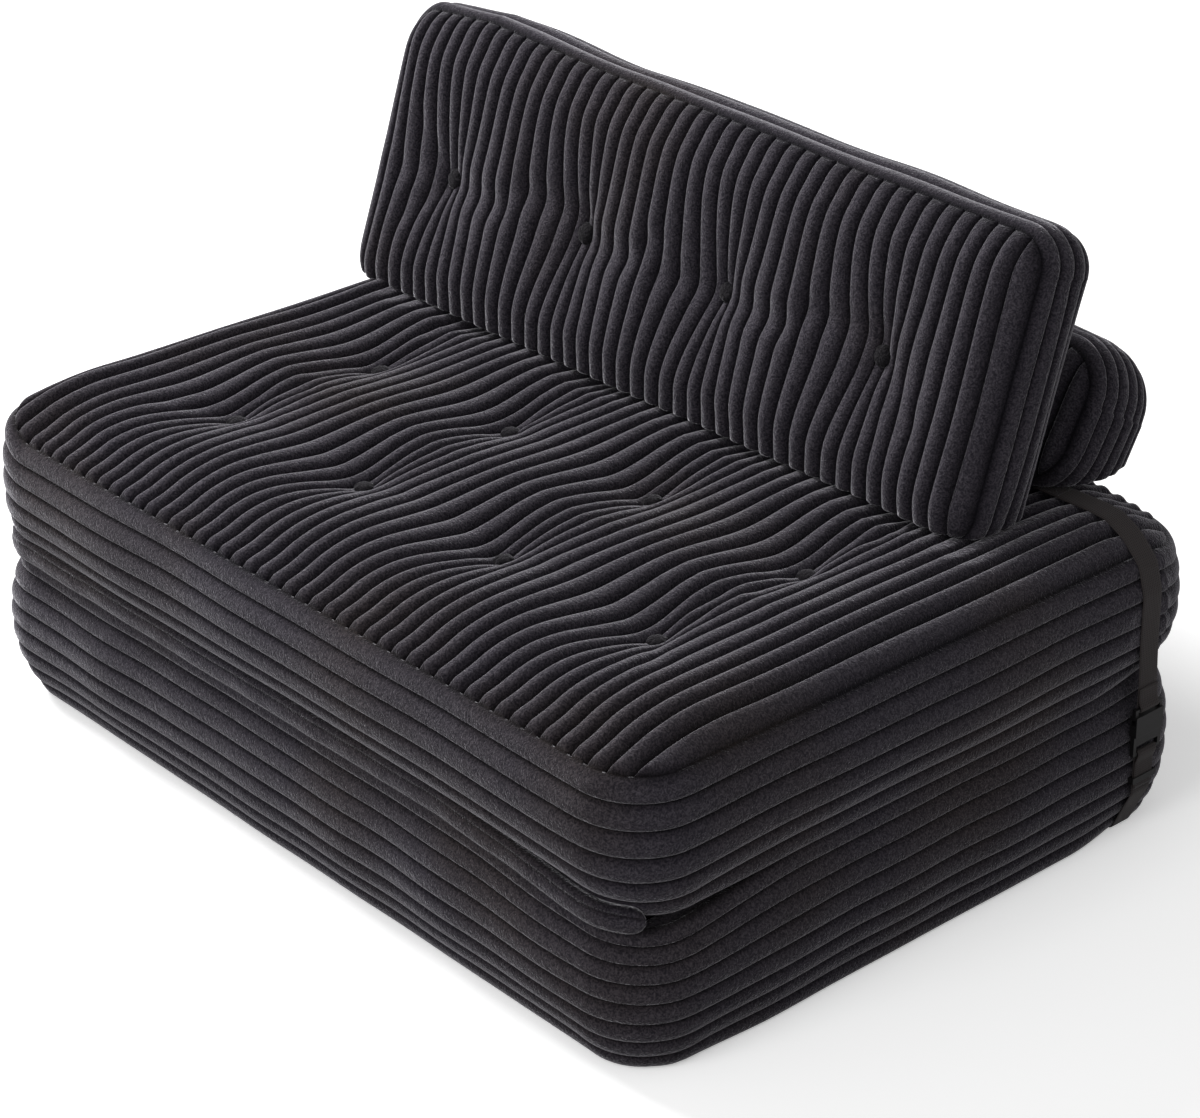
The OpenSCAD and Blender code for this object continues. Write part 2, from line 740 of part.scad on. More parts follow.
// Slider of a slab's zip: a plate over the teeth and a pull that hangs over the rib below
module slab_slider(rear_y, mid_z, ribs, h) {
    plate_w = chain_w * plate_w_share;
    plate_l = chain_w * plate_l_share;
    pull_l = chain_w * pull_l_share;
    plate_y = rear_y - chain_inset(ribs, h) + chain_t + gap;
    translate([slab_zip_l / 2 - plate_l, plate_y, mid_z - plate_w / 2])
        cube([plate_l, slider_t, plate_w]);
    translate([slab_zip_l / 2 - plate_l, plate_y, mid_z - chain_w / 2])
        cube([plate_l / 3, rear_y + gap + slider_t - plate_y, chain_w]);
    translate([slab_zip_l / 2 - plate_l, rear_y + gap, mid_z + chain_w / 2 - pull_l])
        cube([plate_l / 3, slider_t, pull_l]);
}

module lower_zip_chain() {
    color(plastic) slab_chain(lower_d / 2, lower_h / 2, lower_band_ribs, lower_h);
}

module lower_zip_slider() {
    color(metal) slab_slider(lower_d / 2, lower_h / 2, lower_band_ribs, lower_h);
}

module seat_zip_chain() {
    color(plastic)
        slab_chain(seat_mid_y + seat_d / 2, seat_z + seat_band_h / 2, seat_band_ribs, seat_band_h);
}

module seat_zip_slider() {
    color(metal)
        slab_slider(seat_mid_y + seat_d / 2, seat_z + seat_band_h / 2, seat_band_ribs, seat_band_h);
}

// Line moved sideways, to its right, with mitred corners
function moved_line(points, d) =
    [for (i = [0:len(points) - 1])
        let (a = points[max(i - 1, 0)],
             b = points[i],
             c = points[min(i + 1, len(points) - 1)],
             u = i == 0 ? (c - b) / norm(c - b) : (b - a) / norm(b - a),
             v = i == len(points) - 1 ? u : (c - b) / norm(c - b),
             m = [u[1] + v[1], -u[0] - v[0]] / norm([u[1] + v[1], u[0] + v[0]]))
        b + m * d / max(mitre_share, m[0] * u[1] - m[1] * u[0])];

function reversed(points) = [for (i = [len(points) - 1:-1:0]) points[i]];

// Flat webbing that follows a line of [x, z] points, its width along Y
module web(points) {
    translate([0, strap_y + web_w / 2, 0])
        rotate([90, 0, 0])
            linear_extrude(web_w)
                polygon(concat(moved_line(points, web_t / 2),
                    reversed(moved_line(points, -web_t / 2))));
}

// The strap stands off the side by the back of its keeper
web_x = side_x + keeper_t + 2 * gap + web_t / 2;
web_lap = web_x + web_t + gap;
buckle_x = side_x + gap;
buckle_far = buckle_x + buckle_t;
bar_near = buckle_x + buckle_t * bar_near_share;
bar_far = buckle_x + buckle_t * bar_far_share;
bar_z = buckle_z + socket_h + loop_h / 2;
plug_bar_z = buckle_z - plug_h;
turn = web_t / 2 + gap;
web_far = bar_far + turn;

// Webbing line from the side face round a bar and out again; d is 1 to pass below it, -1 above
function bar_turn(z, d) = concat(
    [[web_x, z + d * bar_h / 4], [web_x + web_t / 2, z - d * turn / sqrt(2)], [bar_near, z - d * turn]],
    [for (a = [0:45:90]) [bar_far + turn * sin(a), z - d * turn * cos(a)]],
    [[web_far, z + d * (bar_h + turn)]]);

// Crests of the seat's side, from the inner end of the webbing to the fullest part of the side
seat_side = concat(
    [for (k = [0:12])
        let (d = (web_reach - band_draw_high - band_rib_depth - seam_step) * (1 - k / 12),
             near = seat_half_y - (strap_y - web_w / 2 - seat_mid_y))
        [seat_half_x - d, seat_seam_z + seam_rise
            + (seat_crown - seam_rise) * crown_rise(d + seam_step, seat_side_run)
                * crown_rise(near, seat_crown_run)]],
    [for (k = [2 * seat_band_ribs - 1:-2:seat_band_ribs])
        [side_x - line_inset(k, seat_band_ribs, band_draw_low, band_draw_high),
         seat_z + line_z(k, seat_band_ribs, seat_band_h)]]);

module upper_webbing() {
    line = concat(
        reversed(moved_line(reversed(seat_side), gap + web_t / 2)),
        [[web_x, lower_h]],
        bar_turn(bar_z, 1),
        [[web_lap, bar_z + 5 * bar_h], [web_lap, bar_z + 9 * bar_h]]);
    color(webbing) web(line);
}

lower_side = [for (k = [1:2:lower_band_ribs - 3])
    [side_x - line_inset(k, lower_band_ribs, band_draw_low, band_draw_low),
     line_z(k, lower_band_ribs, lower_h)]];

module lower_webbing() {
    root = line_z(1, lower_band_ribs, lower_h) * web_root_share;
    foot = [side_x - line_inset(0, lower_band_ribs, band_draw_low, band_draw_low)
        + (lower_side[0][0] - side_x + band_draw_low + band_rib_depth) * web_root_share, root];
    line = concat(
        moved_line(concat([foot], lower_side), gap + web_t / 2),
        [[web_x, keeper_z - 2 * keeper_h]],
        bar_turn(plug_bar_z + bar_h, -1),
        [[web_lap, plug_bar_z - 3 * bar_h], [web_lap, keeper_z - 1.5 * keeper_h]]);
    color(webbing) web(line);
}

plate_near = buckle_x + socket_skin + gap;
plate_far = buckle_far - socket_skin - gap;
rail_w = (buckle_w - web_w) / 2 - 2 * gap;

// Box between two corners
module block(a, b) {
    translate(a)
        cube(b - a);
}

// Buckle parts are drawn round the strap's middle line
module at_strap() {
    translate([0, strap_y, 0])
        children();
}

module buckle_socket() {
    half = buckle_w / 2;
    top = buckle_z + socket_h;
    color(plastic)
        at_strap()
            difference() {
                union() {
                    block([buckle_x, -half, buckle_z], [buckle_far, half, top]);
                    for (s = [0, 1])
                        mirror([0, s, 0])
                            block([plate_near, half - rail_w, top - gap],
                                [plate_far, half, bar_z + bar_h]);
                    block([bar_near, -half, bar_z], [bar_far, half, bar_z + bar_h]);
                }
                block([buckle_x + socket_skin, -half + socket_wall, buckle_z - over],
                    [buckle_far - socket_skin, half - socket_wall, top - socket_wall]);
                block([buckle_x + socket_skin, -half - over, buckle_z + window_low],
                    [buckle_far - socket_skin, half + over, buckle_z + window_high]);
            }
}

module buckle_plug() {
    half = buckle_w / 2;
    base = buckle_z - gap;
    color(plastic)
        at_strap() {
            block([plate_near, -half, base - plug_h / 2], [plate_far, half, base]);
            block([plate_near + gap, -guide_w / 2, base - over],
                [plate_far - gap, guide_w / 2, buckle_z + socket_h * guide_share]);
            for (s = [0, 1])
                mirror([0, s, 0])
                    block([plate_near, half - rail_w, plug_bar_z], [plate_far, half, base - over]);
            block([bar_near, -half, plug_bar_z], [bar_far, half, plug_bar_z + bar_h]);
        }
}

arm_root_z = buckle_z + arm_w / 2;

// Sprung arm of the plug: a round root, a shaft, and a barbed head that fills the socket's window
module latch_arm(side) {
    half = buckle_w / 2;
    head_low = buckle_z + window_low + gap;
    head_high = buckle_z + window_high - socket_wall;
    color(plastic)
        at_strap()
            mirror([0, side, 0])
                translate([plate_near + gap, 0, 0])
                    rotate([90, 0, 90])
                        linear_extrude(plate_far - plate_near - 2 * gap) {
                            translate([arm_y, arm_root_z])
                                circle(d = arm_w, $fn = 32);
                            translate([arm_y - arm_w / 2, arm_root_z])
                                square([arm_w, head_high - arm_root_z]);
                            polygon([[arm_y, head_low], [half - gap, head_low],
                                [half - gap, head_low + arm_w / 2], [arm_y + arm_w / 2, head_high],
                                [arm_y, head_high]]);
                        }
}

// Loop that holds the tail of the webbing against the strap
module strap_keeper() {
    near = web_x - web_t / 2 - gap;
    far = web_lap + web_t / 2 + gap;
    half = web_w / 2 + 2 * gap;
    color(plastic)
        at_strap()
            difference() {
                block([near - keeper_t, -half - keeper_t, keeper_z - keeper_h / 2],
                    [far + keeper_t, half + keeper_t, keeper_z + keeper_h / 2]);
                block([near, -half, keeper_z - keeper_h / 2 - over],
                    [far, half, keeper_z + keeper_h / 2 + over]);
            }
}

module right_upper_webbing() { upper_webbing(); }
module right_lower_webbing() { lower_webbing(); }
module right_buckle_socket() { buckle_socket(); }
module right_buckle_plug() { buckle_plug(); }
module right_front_latch() { latch_arm(1); }
module right_rear_latch() { latch_arm(0); }
module right_strap_keeper() { strap_keeper(); }
module left_upper_webbing() { mirror([1, 0, 0]) upper_webbing(); }
module left_lower_webbing() { mirror([1, 0, 0]) lower_webbing(); }
module left_buckle_socket() { mirror([1, 0, 0]) buckle_socket(); }
module left_buckle_plug() { mirror([1, 0, 0]) buckle_plug(); }
module left_front_latch() { mirror([1, 0, 0]) latch_arm(1); }
module left_rear_latch() { mirror([1, 0, 0]) latch_arm(0); }
module left_strap_keeper() { mirror([1, 0, 0]) strap_keeper(); }

lower_cover();
lower_foam_core();
lower_zip_chain();
lower_zip_slider();
seat_cover();
seat_foam_core();
seat_buttons();
seat_tufting_ties();
seat_tuft_washers();
seat_zip_chain();
seat_zip_slider();
hinge_strip_lower();
hinge_strip_upper();
front_cushion_cover();
front_cushion_foam();
front_cushion_buttons();
front_cushion_ties();
front_cushion_washers();
front_cushion_zip_chain();
front_cushion_zip_slider();
rear_cushion_cover();
rear_cushion_foam();
rear_cushion_zip_chain();
rear_cushion_zip_slider();
right_upper_webbing();
right_lower_webbing();
right_buckle_socket();
right_buckle_plug();
right_front_latch();
right_rear_latch();
right_strap_keeper();
left_upper_webbing();
left_lower_webbing();
left_buckle_socket();
left_buckle_plug();
left_front_latch();
left_rear_latch();
left_strap_keeper();
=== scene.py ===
# Floor sofa bed in ribbed plush: two foam slabs hinged along the front, two loose back cushions, side straps.
# Metres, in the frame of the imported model: the front faces -Y and the floor is z = 0.
import json
from math import cos, pi, radians, sin

import bmesh
import bpy
import numpy as np
from mathutils import Matrix, Vector

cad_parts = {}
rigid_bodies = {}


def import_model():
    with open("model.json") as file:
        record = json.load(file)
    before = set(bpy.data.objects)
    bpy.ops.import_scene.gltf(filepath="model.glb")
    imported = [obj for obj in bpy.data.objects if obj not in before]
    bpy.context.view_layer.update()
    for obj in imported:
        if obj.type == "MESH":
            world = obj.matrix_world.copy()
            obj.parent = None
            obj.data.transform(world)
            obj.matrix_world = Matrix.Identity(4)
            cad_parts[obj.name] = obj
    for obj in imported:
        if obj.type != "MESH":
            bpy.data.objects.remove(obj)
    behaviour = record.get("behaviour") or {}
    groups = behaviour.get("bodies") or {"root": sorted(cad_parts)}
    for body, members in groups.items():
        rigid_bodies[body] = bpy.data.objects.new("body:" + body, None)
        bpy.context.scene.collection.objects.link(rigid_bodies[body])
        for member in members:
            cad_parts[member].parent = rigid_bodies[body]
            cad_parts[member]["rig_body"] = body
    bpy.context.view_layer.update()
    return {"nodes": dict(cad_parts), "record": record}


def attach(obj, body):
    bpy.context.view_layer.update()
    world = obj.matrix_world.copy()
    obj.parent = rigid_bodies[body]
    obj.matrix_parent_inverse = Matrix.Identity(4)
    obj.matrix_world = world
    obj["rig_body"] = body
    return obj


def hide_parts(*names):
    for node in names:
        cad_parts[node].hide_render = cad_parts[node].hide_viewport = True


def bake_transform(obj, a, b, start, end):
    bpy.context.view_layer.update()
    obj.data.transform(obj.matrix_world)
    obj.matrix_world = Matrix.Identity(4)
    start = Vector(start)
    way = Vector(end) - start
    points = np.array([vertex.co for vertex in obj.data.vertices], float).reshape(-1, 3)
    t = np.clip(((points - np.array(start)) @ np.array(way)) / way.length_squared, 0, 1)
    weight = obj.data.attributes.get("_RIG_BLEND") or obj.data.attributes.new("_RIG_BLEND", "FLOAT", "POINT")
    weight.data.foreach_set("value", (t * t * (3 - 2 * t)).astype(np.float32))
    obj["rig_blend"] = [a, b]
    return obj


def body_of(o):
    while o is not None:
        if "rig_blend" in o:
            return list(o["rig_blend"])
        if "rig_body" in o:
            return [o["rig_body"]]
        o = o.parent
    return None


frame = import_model()

MM = 0.001

# Driving sizes, as the part's source gives them
GAP = 0.3 * MM
SLAB_W = 1200 * MM
LOWER_D = 880 * MM
SEAT_OVERHANG = 10 * MM
LOWER_H = 198 * MM
SEAT_BAND_H = 154 * MM
SEAT_CROWN = 36 * MM
SEAT_CROWN_RUN = 130 * MM
SEAT_SIDE_RUN = 44 * MM
SLAB_CORNER_R = 90 * MM
BAND_DRAW_LOW = 28 * MM
BAND_DRAW_HIGH = 12 * MM
TUFT_PITCH_X = 251 * MM
TUFT_PITCH_Y = 220 * MM
TUFT_SHIFT_Y = 10 * MM
CUSHION_W = 1110 * MM
CUSHION_SIDE = 70 * MM
CUSHION_DRAW = 14 * MM
CUSHION_CROWN_RUN = 44 * MM
FRONT_H = 384 * MM
FRONT_BAND_H = 90 * MM
FRONT_CROWN = 22 * MM
FRONT_LEAN = radians(18.5)
FRONT_FOOT_Y = 124 * MM
FRONT_PRESS = 17 * MM
FRONT_CORNER_R = 52 * MM
# The ribs of the front panel turn right over its edge, so its seam draws in less than the back's
FRONT_EDGE_DRAW = 4 * MM
REAR_H = 205 * MM
REAR_BAND_H = 105 * MM
REAR_CROWN = 20 * MM
REAR_LEAN = radians(30)
REAR_FOOT_Y = 280 * MM
REAR_PRESS = 4 * MM
REAR_CORNER_R = 78 * MM
STRAP_Y = 328 * MM
WEB_W = 35 * MM
# The webbing shows a little narrower than its slot in the buckle
WEB_SHOWN = 31 * MM
WEB_T = 1.8 * MM
WEB_REACH = 165 * MM
STRIP_TURN = radians(52)
SLAB_ZIP_L = 900 * MM
CUSHION_ZIP_L = 820 * MM

SEAT_Z = LOWER_H + GAP
SEAT_MID_Y = SEAT_OVERHANG / 2
SEAT_TOP = SEAT_Z + SEAT_BAND_H + SEAT_CROWN
SIDE_X = SLAB_W / 2
FRONT_Y = -LOWER_D / 2
# Depth of the tufts, and reach of the hollow round each
SEAT_TUFT_DEPTH, SEAT_TUFT_REACH = 31 * MM, 84 * MM
FRONT_TUFT_DEPTH, FRONT_TUFT_REACH = 30 * MM, 78 * MM
# How far the front right corner sinks: the seat's underside, the lower slab's top, the hinge strip between them
SEAT_SAG, LOWER_SAG, STRIP_SAG = 10 * MM, 26 * MM, 20 * MM

# How the visible fabric is cut into facets: places across one rib, and the step between rows
PANEL_RIB_CUTS = (0, 0.06, 0.085, 0.14, 0.24, 0.37, 0.5, 0.63, 0.76, 0.86, 0.915, 0.94)
BAND_RIB_CUTS = (0, 0.03, 0.09, 0.2, 0.35, 0.52, 0.69, 0.83, 0.93, 0.98)
PANEL_ROW = 8.5 * MM
SWELL_CELL = 26 * MM
FOAM_CELL = 28 * MM
BUTTON_PLACES = 36

# Shape of the ribs
PANEL_RIB_RISE = 9 * MM
PANEL_RIB_DEPTH = 15 * MM
PANEL_RIB_FILL = 0.88
CUSHION_RIB_DEPTH = 13 * MM
CUSHION_RIB_FILL = 0.95
RIB_END_R = 8 * MM
CUSHION_END_R = 22 * MM
BAND_SEAM_DEPTH = 9 * MM
FOAM_DEPTH = 18 * MM
BAND_RIB_DEPTH = 8.5 * MM
BAND_ARC = radians(45)
BAND_POWER = 2.5
# Share of the drawn in edge that is left along the sides and the front: at the groove, over the hinge strip, on
# the floor
GROOVE_KEPT = (0.34, 0.34)
STRIP_KEPT = (0.34, 0.8)
FLOOR_KEPT = (0.58, 1.0)
# How the stuffed covers swell
CLOTH = dict(quality=6, mass=0.25, tension_stiffness=18, compression_stiffness=10, bending_stiffness=0.6,
    use_pressure=True, uniform_pressure_force=6, vertex_group_mass="sewn")
CLOTH_STEPS = 18

# Zip and sewing: pitch of teeth and stitches, and how far the row of teeth lies inside the fabric
TOOTH_PITCH = 2.2 * MM
ZIP_STITCH, STRIP_STITCH, STRAP_STITCH = 3.8 * MM, 4.4 * MM, 3.2 * MM
SLAB_ZIP_SUNK, CUSHION_ZIP_SUNK = 2.9 * MM, 2.6 * MM
# A wave texture of this scale repeats about every millimetre
WAVE_PER_MM = 1 / (pi * MM)


def srgb(code):
    """Linear colour of an sRGB hex value."""
    parts = [int(code[k:k + 2], 16) / 255 for k in (0, 2, 4)]
    return tuple(p / 12.92 if p <= 0.04045 else ((p + 0.055) / 1.055) ** 2.4 for p in parts) + (1.0,)


def add(tree, kind, inputs=None, stops=(), **settings):
    """One node, with its settings, its inputs, and the (place, sRGB hex) stops of a colour ramp. An input is a value,
    another node's output, or a node, which stands for its first output in use."""
    node = tree.nodes.new(kind)
    for key, value in settings.items():
        setattr(node, key, value)
    for key, value in (inputs or {}).items():
        if isinstance(value, bpy.types.Node):
            value = next(output for output in value.outputs if output.enabled)
        if isinstance(value, bpy.types.NodeSocket):
            tree.links.new(value, node.inputs[key])
        else:
            node.inputs[key].default_value = value
    for _ in range(len(stops) - 2):
        node.color_ramp.elements.new(0.5)
    for number, (place, code) in enumerate(stops):
        element = node.color_ramp.elements[number]
        element.position, element.color = place, srgb(code)
    return node


# Materials
def material_of(name, finish, *values):
    """A material from the function that builds its nodes and gives back its last shader."""
    material = bpy.data.materials.new(name)
    material.use_nodes = True
    tree = material.node_tree
    tree.nodes.clear()
    add(tree, "ShaderNodeOutputMaterial", {"Surface": finish(tree, *values)})
    return material


def ribbed_plush(tree, valley_shade, body, crest, warm, sheen):
    """Cut pile polyester plush, sewn over padded ribs: matt, with painted shade that makes it near black in the valleys
    and a painted highlight on the crests, short streaks of pile, and brownish patches where it is brushed the other
    way."""
    place = add(tree, "ShaderNodeTexCoord").outputs["Object"]
    # Pile is about 0.5 mm thick in life; its streaks are drawn at 2.5 mm so that they show
    bent = add(tree, "ShaderNodeTexNoise", {"Vector": place, "Scale": 160.0, "Detail": 1.0})
    streak = add(tree, "ShaderNodeMix", {"Factor": 0.006, 4: place, 5: bent.outputs["Color"]},
        data_type="VECTOR", blend_type="ADD").outputs[1]
    pile, clump, brushed = (add(tree, "ShaderNodeTexNoise", {"Vector": where, "Scale": scale, "Detail": detail,
        "Roughness": 0.5}).outputs["Fac"] for where, scale, detail in (
        (streak, 460.0, 1.5), (place, 210.0, 1.5), (place, 3.2, 2.0)))
    height = add(tree, "ShaderNodeAttribute", attribute_name="rib_height").outputs["Fac"]
    # Painted shade, near black in the valleys, and a painted highlight on the crests, both set by the height of the rib
    ground, patches, grain, shade = (add(tree, "ShaderNodeValToRGB", {"Fac": factor}, stops) for factor, stops in (
        (height, [(0.0, valley_shade), (0.7, body), (1.0, crest)]),
        (brushed, [(0.5, "000000"), (0.68, "a0a0a0")]),
        (pile, [(0.36, "92929a"), (0.5, "c6c6c8"), (0.64, "f6f6f6")]),
        (clump, [(0.3, "dedede"), (0.7, "ffffff")])))
    colour = add(tree, "ShaderNodeMix", {"Factor": patches, 6: ground, 7: srgb(warm)}, data_type="RGBA").outputs[2]
    for darker in (grain, shade):
        colour = add(tree, "ShaderNodeMix", {"Factor": 1.0, 6: colour, 7: darker},
            data_type="RGBA", blend_type="MULTIPLY").outputs[2]
    coarse = add(tree, "ShaderNodeBump", {"Strength": 0.5, "Distance": 1.2 * MM, "Height": clump})
    fine = add(tree, "ShaderNodeBump", {"Strength": 0.8, "Distance": 1.6 * MM, "Height": pile, "Normal": coarse})
    return add(tree, "ShaderNodeBsdfPrincipled", {"Base Color": colour, "Roughness": 1.0, "Specular IOR Level": 0.1,
        "Sheen Weight": sheen, "Sheen Roughness": 0.3, "Sheen Tint": srgb("d8d6dc"), "Normal": fine})


def woven_webbing(tree, thread, shade):
    """Polyester webbing: a plain weave of 1.4 mm threads, slightly shiny."""
    cloth = add(tree, "ShaderNodeUVMap", uv_map="cloth")
    along, across = (add(tree, "ShaderNodeTexWave", {"Vector": cloth, "Scale": WAVE_PER_MM / 2.8, "Distortion": 0.4},
        bands_direction=way).outputs["Fac"] for way in "XY")
    weave = add(tree, "ShaderNodeMath", {0: along, 1: across}, operation="MAXIMUM")
    colour = add(tree, "ShaderNodeValToRGB", {"Fac": weave}, [(0.2, shade), (0.9, thread)])
    bump = add(tree, "ShaderNodeBump", {"Strength": 0.7, "Distance": 0.5 * MM, "Height": weave})
    return add(tree, "ShaderNodeBsdfPrincipled", {"Base Color": colour, "Roughness": 0.8, "Specular IOR Level": 0.2,
        "Sheen Weight": 0.05, "Sheen Roughness": 0.4, "Normal": bump})


def moulded_plastic(tree, dark, light, rough):
    """Acetal, injection moulded: near black with a fine spark eroded grain."""
    place = add(tree, "ShaderNodeTexCoord").outputs["Object"]
    grain = add(tree, "ShaderNodeTexNoise", {"Vector": place, "Scale": 1500.0, "Detail": 2.0}).outputs["Fac"]
    shade = add(tree, "ShaderNodeValToRGB", {"Fac": grain}, [(0.35, dark), (0.75, light)])
    bump = add(tree, "ShaderNodeBump", {"Strength": 0.25, "Distance": 0.15 * MM, "Height": grain})
    return add(tree, "ShaderNodeBsdfPrincipled", {"Base Color": shade, "Roughness": rough, "IOR": 1.48,
        "Specular IOR Level": 0.15, "Normal": bump})


def cast_zinc(tree, dark, bright):
    """Zinc die casting under dark electroplate: satin metal, worn brighter in small patches."""
    place = add(tree, "ShaderNodeTexCoord").outputs["Object"]
    wear = add(tree, "ShaderNodeTexNoise", {"Vector": place, "Scale": 420.0, "Detail": 4.0}).outputs["Fac"]
    colour = add(tree, "ShaderNodeValToRGB", {"Fac": wear}, [(0.42, dark), (0.7, bright)])
    rough = add(tree, "ShaderNodeMapRange", {"Value": wear, "To Min": 0.28, "To Max": 0.5}).outputs["Result"]
    return add(tree, "ShaderNodeBsdfPrincipled", {"Base Color": colour, "Metallic": 1.0, "Roughness": rough})


def open_foam(tree, pit, wall):
    """Polyurethane foam, block cut: pale yellow, with open cells of about 1 mm whose pits are painted darker as shade.
    """
    place = add(tree, "ShaderNodeTexCoord").outputs["Object"]
    cells = add(tree, "ShaderNodeTexVoronoi", {"Vector": place, "Scale": 900.0}).outputs["Distance"]
    colour = add(tree, "ShaderNodeValToRGB", {"Fac": cells}, [(0.0, pit), (0.6, wall)])
    bump = add(tree, "ShaderNodeBump", {"Strength": 0.5, "Distance": 0.6 * MM, "Height": cells})
    return add(tree, "ShaderNodeBsdfPrincipled", {"Base Color": colour, "Roughness": 0.95, "Normal": bump})


def twisted_thread(tree, light, dark):
    """Bonded nylon thread: fine slanting plies, drawn at 1.2 mm so that they show."""
    place = add(tree, "ShaderNodeTexCoord").outputs["Object"]
    ply = add(tree, "ShaderNodeTexWave", {"Vector": place, "Scale": WAVE_PER_MM / 1.2, "Distortion": 1.0},
        bands_direction="DIAGONAL").outputs["Fac"]
    colour = add(tree, "ShaderNodeValToRGB", {"Fac": ply}, [(0.1, dark), (0.8, light)])
    bump = add(tree, "ShaderNodeBump", {"Strength": 0.6, "Distance": 0.3 * MM, "Height": ply})
    return add(tree, "ShaderNodeBsdfPrincipled", {"Base Color": colour, "Roughness": 0.6, "Normal": bump})


# Colours: painted shade in the valleys, the body, a painted highlight on the crests, brushed patches, then the sheen
plush = material_of("charcoal ribbed plush", ribbed_plush, "100e14", "3e3a41", "4f4b52", "4a4038", 0.95)
# The buttons' plush is the same cloth painted darker as shade in the tufts, and it runs from painted valley shade to
# painted crest highlight like the rest
shaded_button_plush = material_of("charcoal button plush", ribbed_plush, "151316", "211f22", "2b292c", "262322", 0.25)
web_cloth = material_of("black polyester webbing", woven_webbing, "302b2b", "131112")
foam_cells = material_of("cut polyurethane foam", open_foam, "c9b98a", "efe4bd")
finishes = {
    "ribbed_plush": plush, "button_plush": shaded_button_plush, "webbing": web_cloth, "foam": foam_cells,
    "buckle_plastic": material_of("black moulded acetal", moulded_plastic, "0a090a", "131213", 0.5),
    "zip_metal": material_of("plated zinc", cast_zinc, "4b4b4f", "7c7c80"),
    "thread": material_of("bonded nylon thread", twisted_thread, "4a4a4c", "232325"),
}


# Mesh helpers
def linked(name, data):
    """A new object in the scene."""
    piece = bpy.data.objects.new(name, data)
    bpy.context.scene.collection.objects.link(piece)
    return piece


def belongs(piece, body, slot, *nodes, fill=None):
    """What a piece rides on, and the nodes that it stands for, which it hides. Its slot and, for a pad, how tight it is
    are not used.
    """
    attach(piece, body)
    if nodes:
        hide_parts(*nodes)


def piece_from(name, points, faces, material, smooth=True):
    """A mesh object from arrays of points and of faces with three or four corners each."""
    mesh = bpy.data.meshes.new(name)
    points = np.asarray(points, dtype=np.float32)
    loops = np.concatenate([np.asarray(f, dtype=np.int32).ravel() for f in faces])
    sizes = np.concatenate([np.full(len(f), np.asarray(f).shape[1], dtype=np.int32) for f in faces])
    mesh.vertices.add(len(points))
    mesh.vertices.foreach_set("co", points.ravel())
    mesh.loops.add(len(loops))
    mesh.loops.foreach_set("vertex_index", loops)
    mesh.polygons.add(len(sizes))
    mesh.polygons.foreach_set("loop_start", np.concatenate([[0], np.cumsum(sizes)[:-1]]).astype(np.int32))
    mesh.polygons.foreach_set("use_smooth", np.full(len(sizes), smooth))
    mesh.update(calc_edges=True)
    mesh.validate()
    mesh.materials.append(material)
    return linked(name, mesh)


def reshaped(piece, points):
    """Puts a piece's points in new places."""
    piece.data.vertices.foreach_set("co", points.astype(np.float32).ravel())
    piece.data.update()


def face_out(piece):
    """Turns a closed mesh's faces outwards."""
    mesh = bmesh.new()
    mesh.from_mesh(piece.data)
    bmesh.ops.recalc_face_normals(mesh, faces=mesh.faces)
    mesh.to_mesh(piece.data)
    mesh.free()


def tube_faces(rows, ring):
    """Quads between closed rings of points that are stored row by row."""
    first = np.arange(rows - 1)[:, None] * ring
    a = (first + np.arange(ring)).ravel()
    b = (first + (np.arange(ring) + 1) % ring).ravel()
    return np.stack([a, b, b + ring, a + ring], axis=-1)


def length_along(line):
    """How far each point of a line lies along it."""
    return np.concatenate([[0], np.cumsum(np.linalg.norm(np.diff(line, axis=0), axis=1))])


def keep_value(piece, name, values):
    """Stores one number for each point of a piece."""
    attribute = piece.data.attributes.new(name, "FLOAT", "POINT")
    attribute.data.foreach_set("value", np.asarray(values, dtype=np.float32))


def grid_faces(columns, rows, first=0):
    """Quads of a grid of points stored column by column, facing up when x and y grow."""
    i, j = np.meshgrid(np.arange(columns - 1), np.arange(rows - 1), indexing="ij")
    a = first + i * rows + j
    return np.stack([a, a + rows, a + rows + 1, a + 1], axis=-1).reshape(-1, 4)


def rim_of(columns, rows):
    """Indices of a grid's edge points, anticlockwise from its last column and row."""
    top = [i * rows + rows - 1 for i in range(columns - 1, -1, -1)]
    left = list(range(rows - 2, -1, -1))
    bottom = [i * rows for i in range(1, columns)]
    right = [(columns - 1) * rows + j for j in range(1, rows - 1)]
    return np.array(top + left + bottom + right)


def drift(a, b, size, seed):
    """A smooth uneven field of about -1 to 1 over a fabric: five crossed waves of one size."""
    total = 0
    for k in range(5):
        turn = seed * 1.7 + k * 2.399
        pitch = 2 * pi / size * (0.7 + 0.2 * k)
        total = total + np.sin((a * cos(turn) + b * sin(turn)) * pitch + turn * 5)
    return total / 3


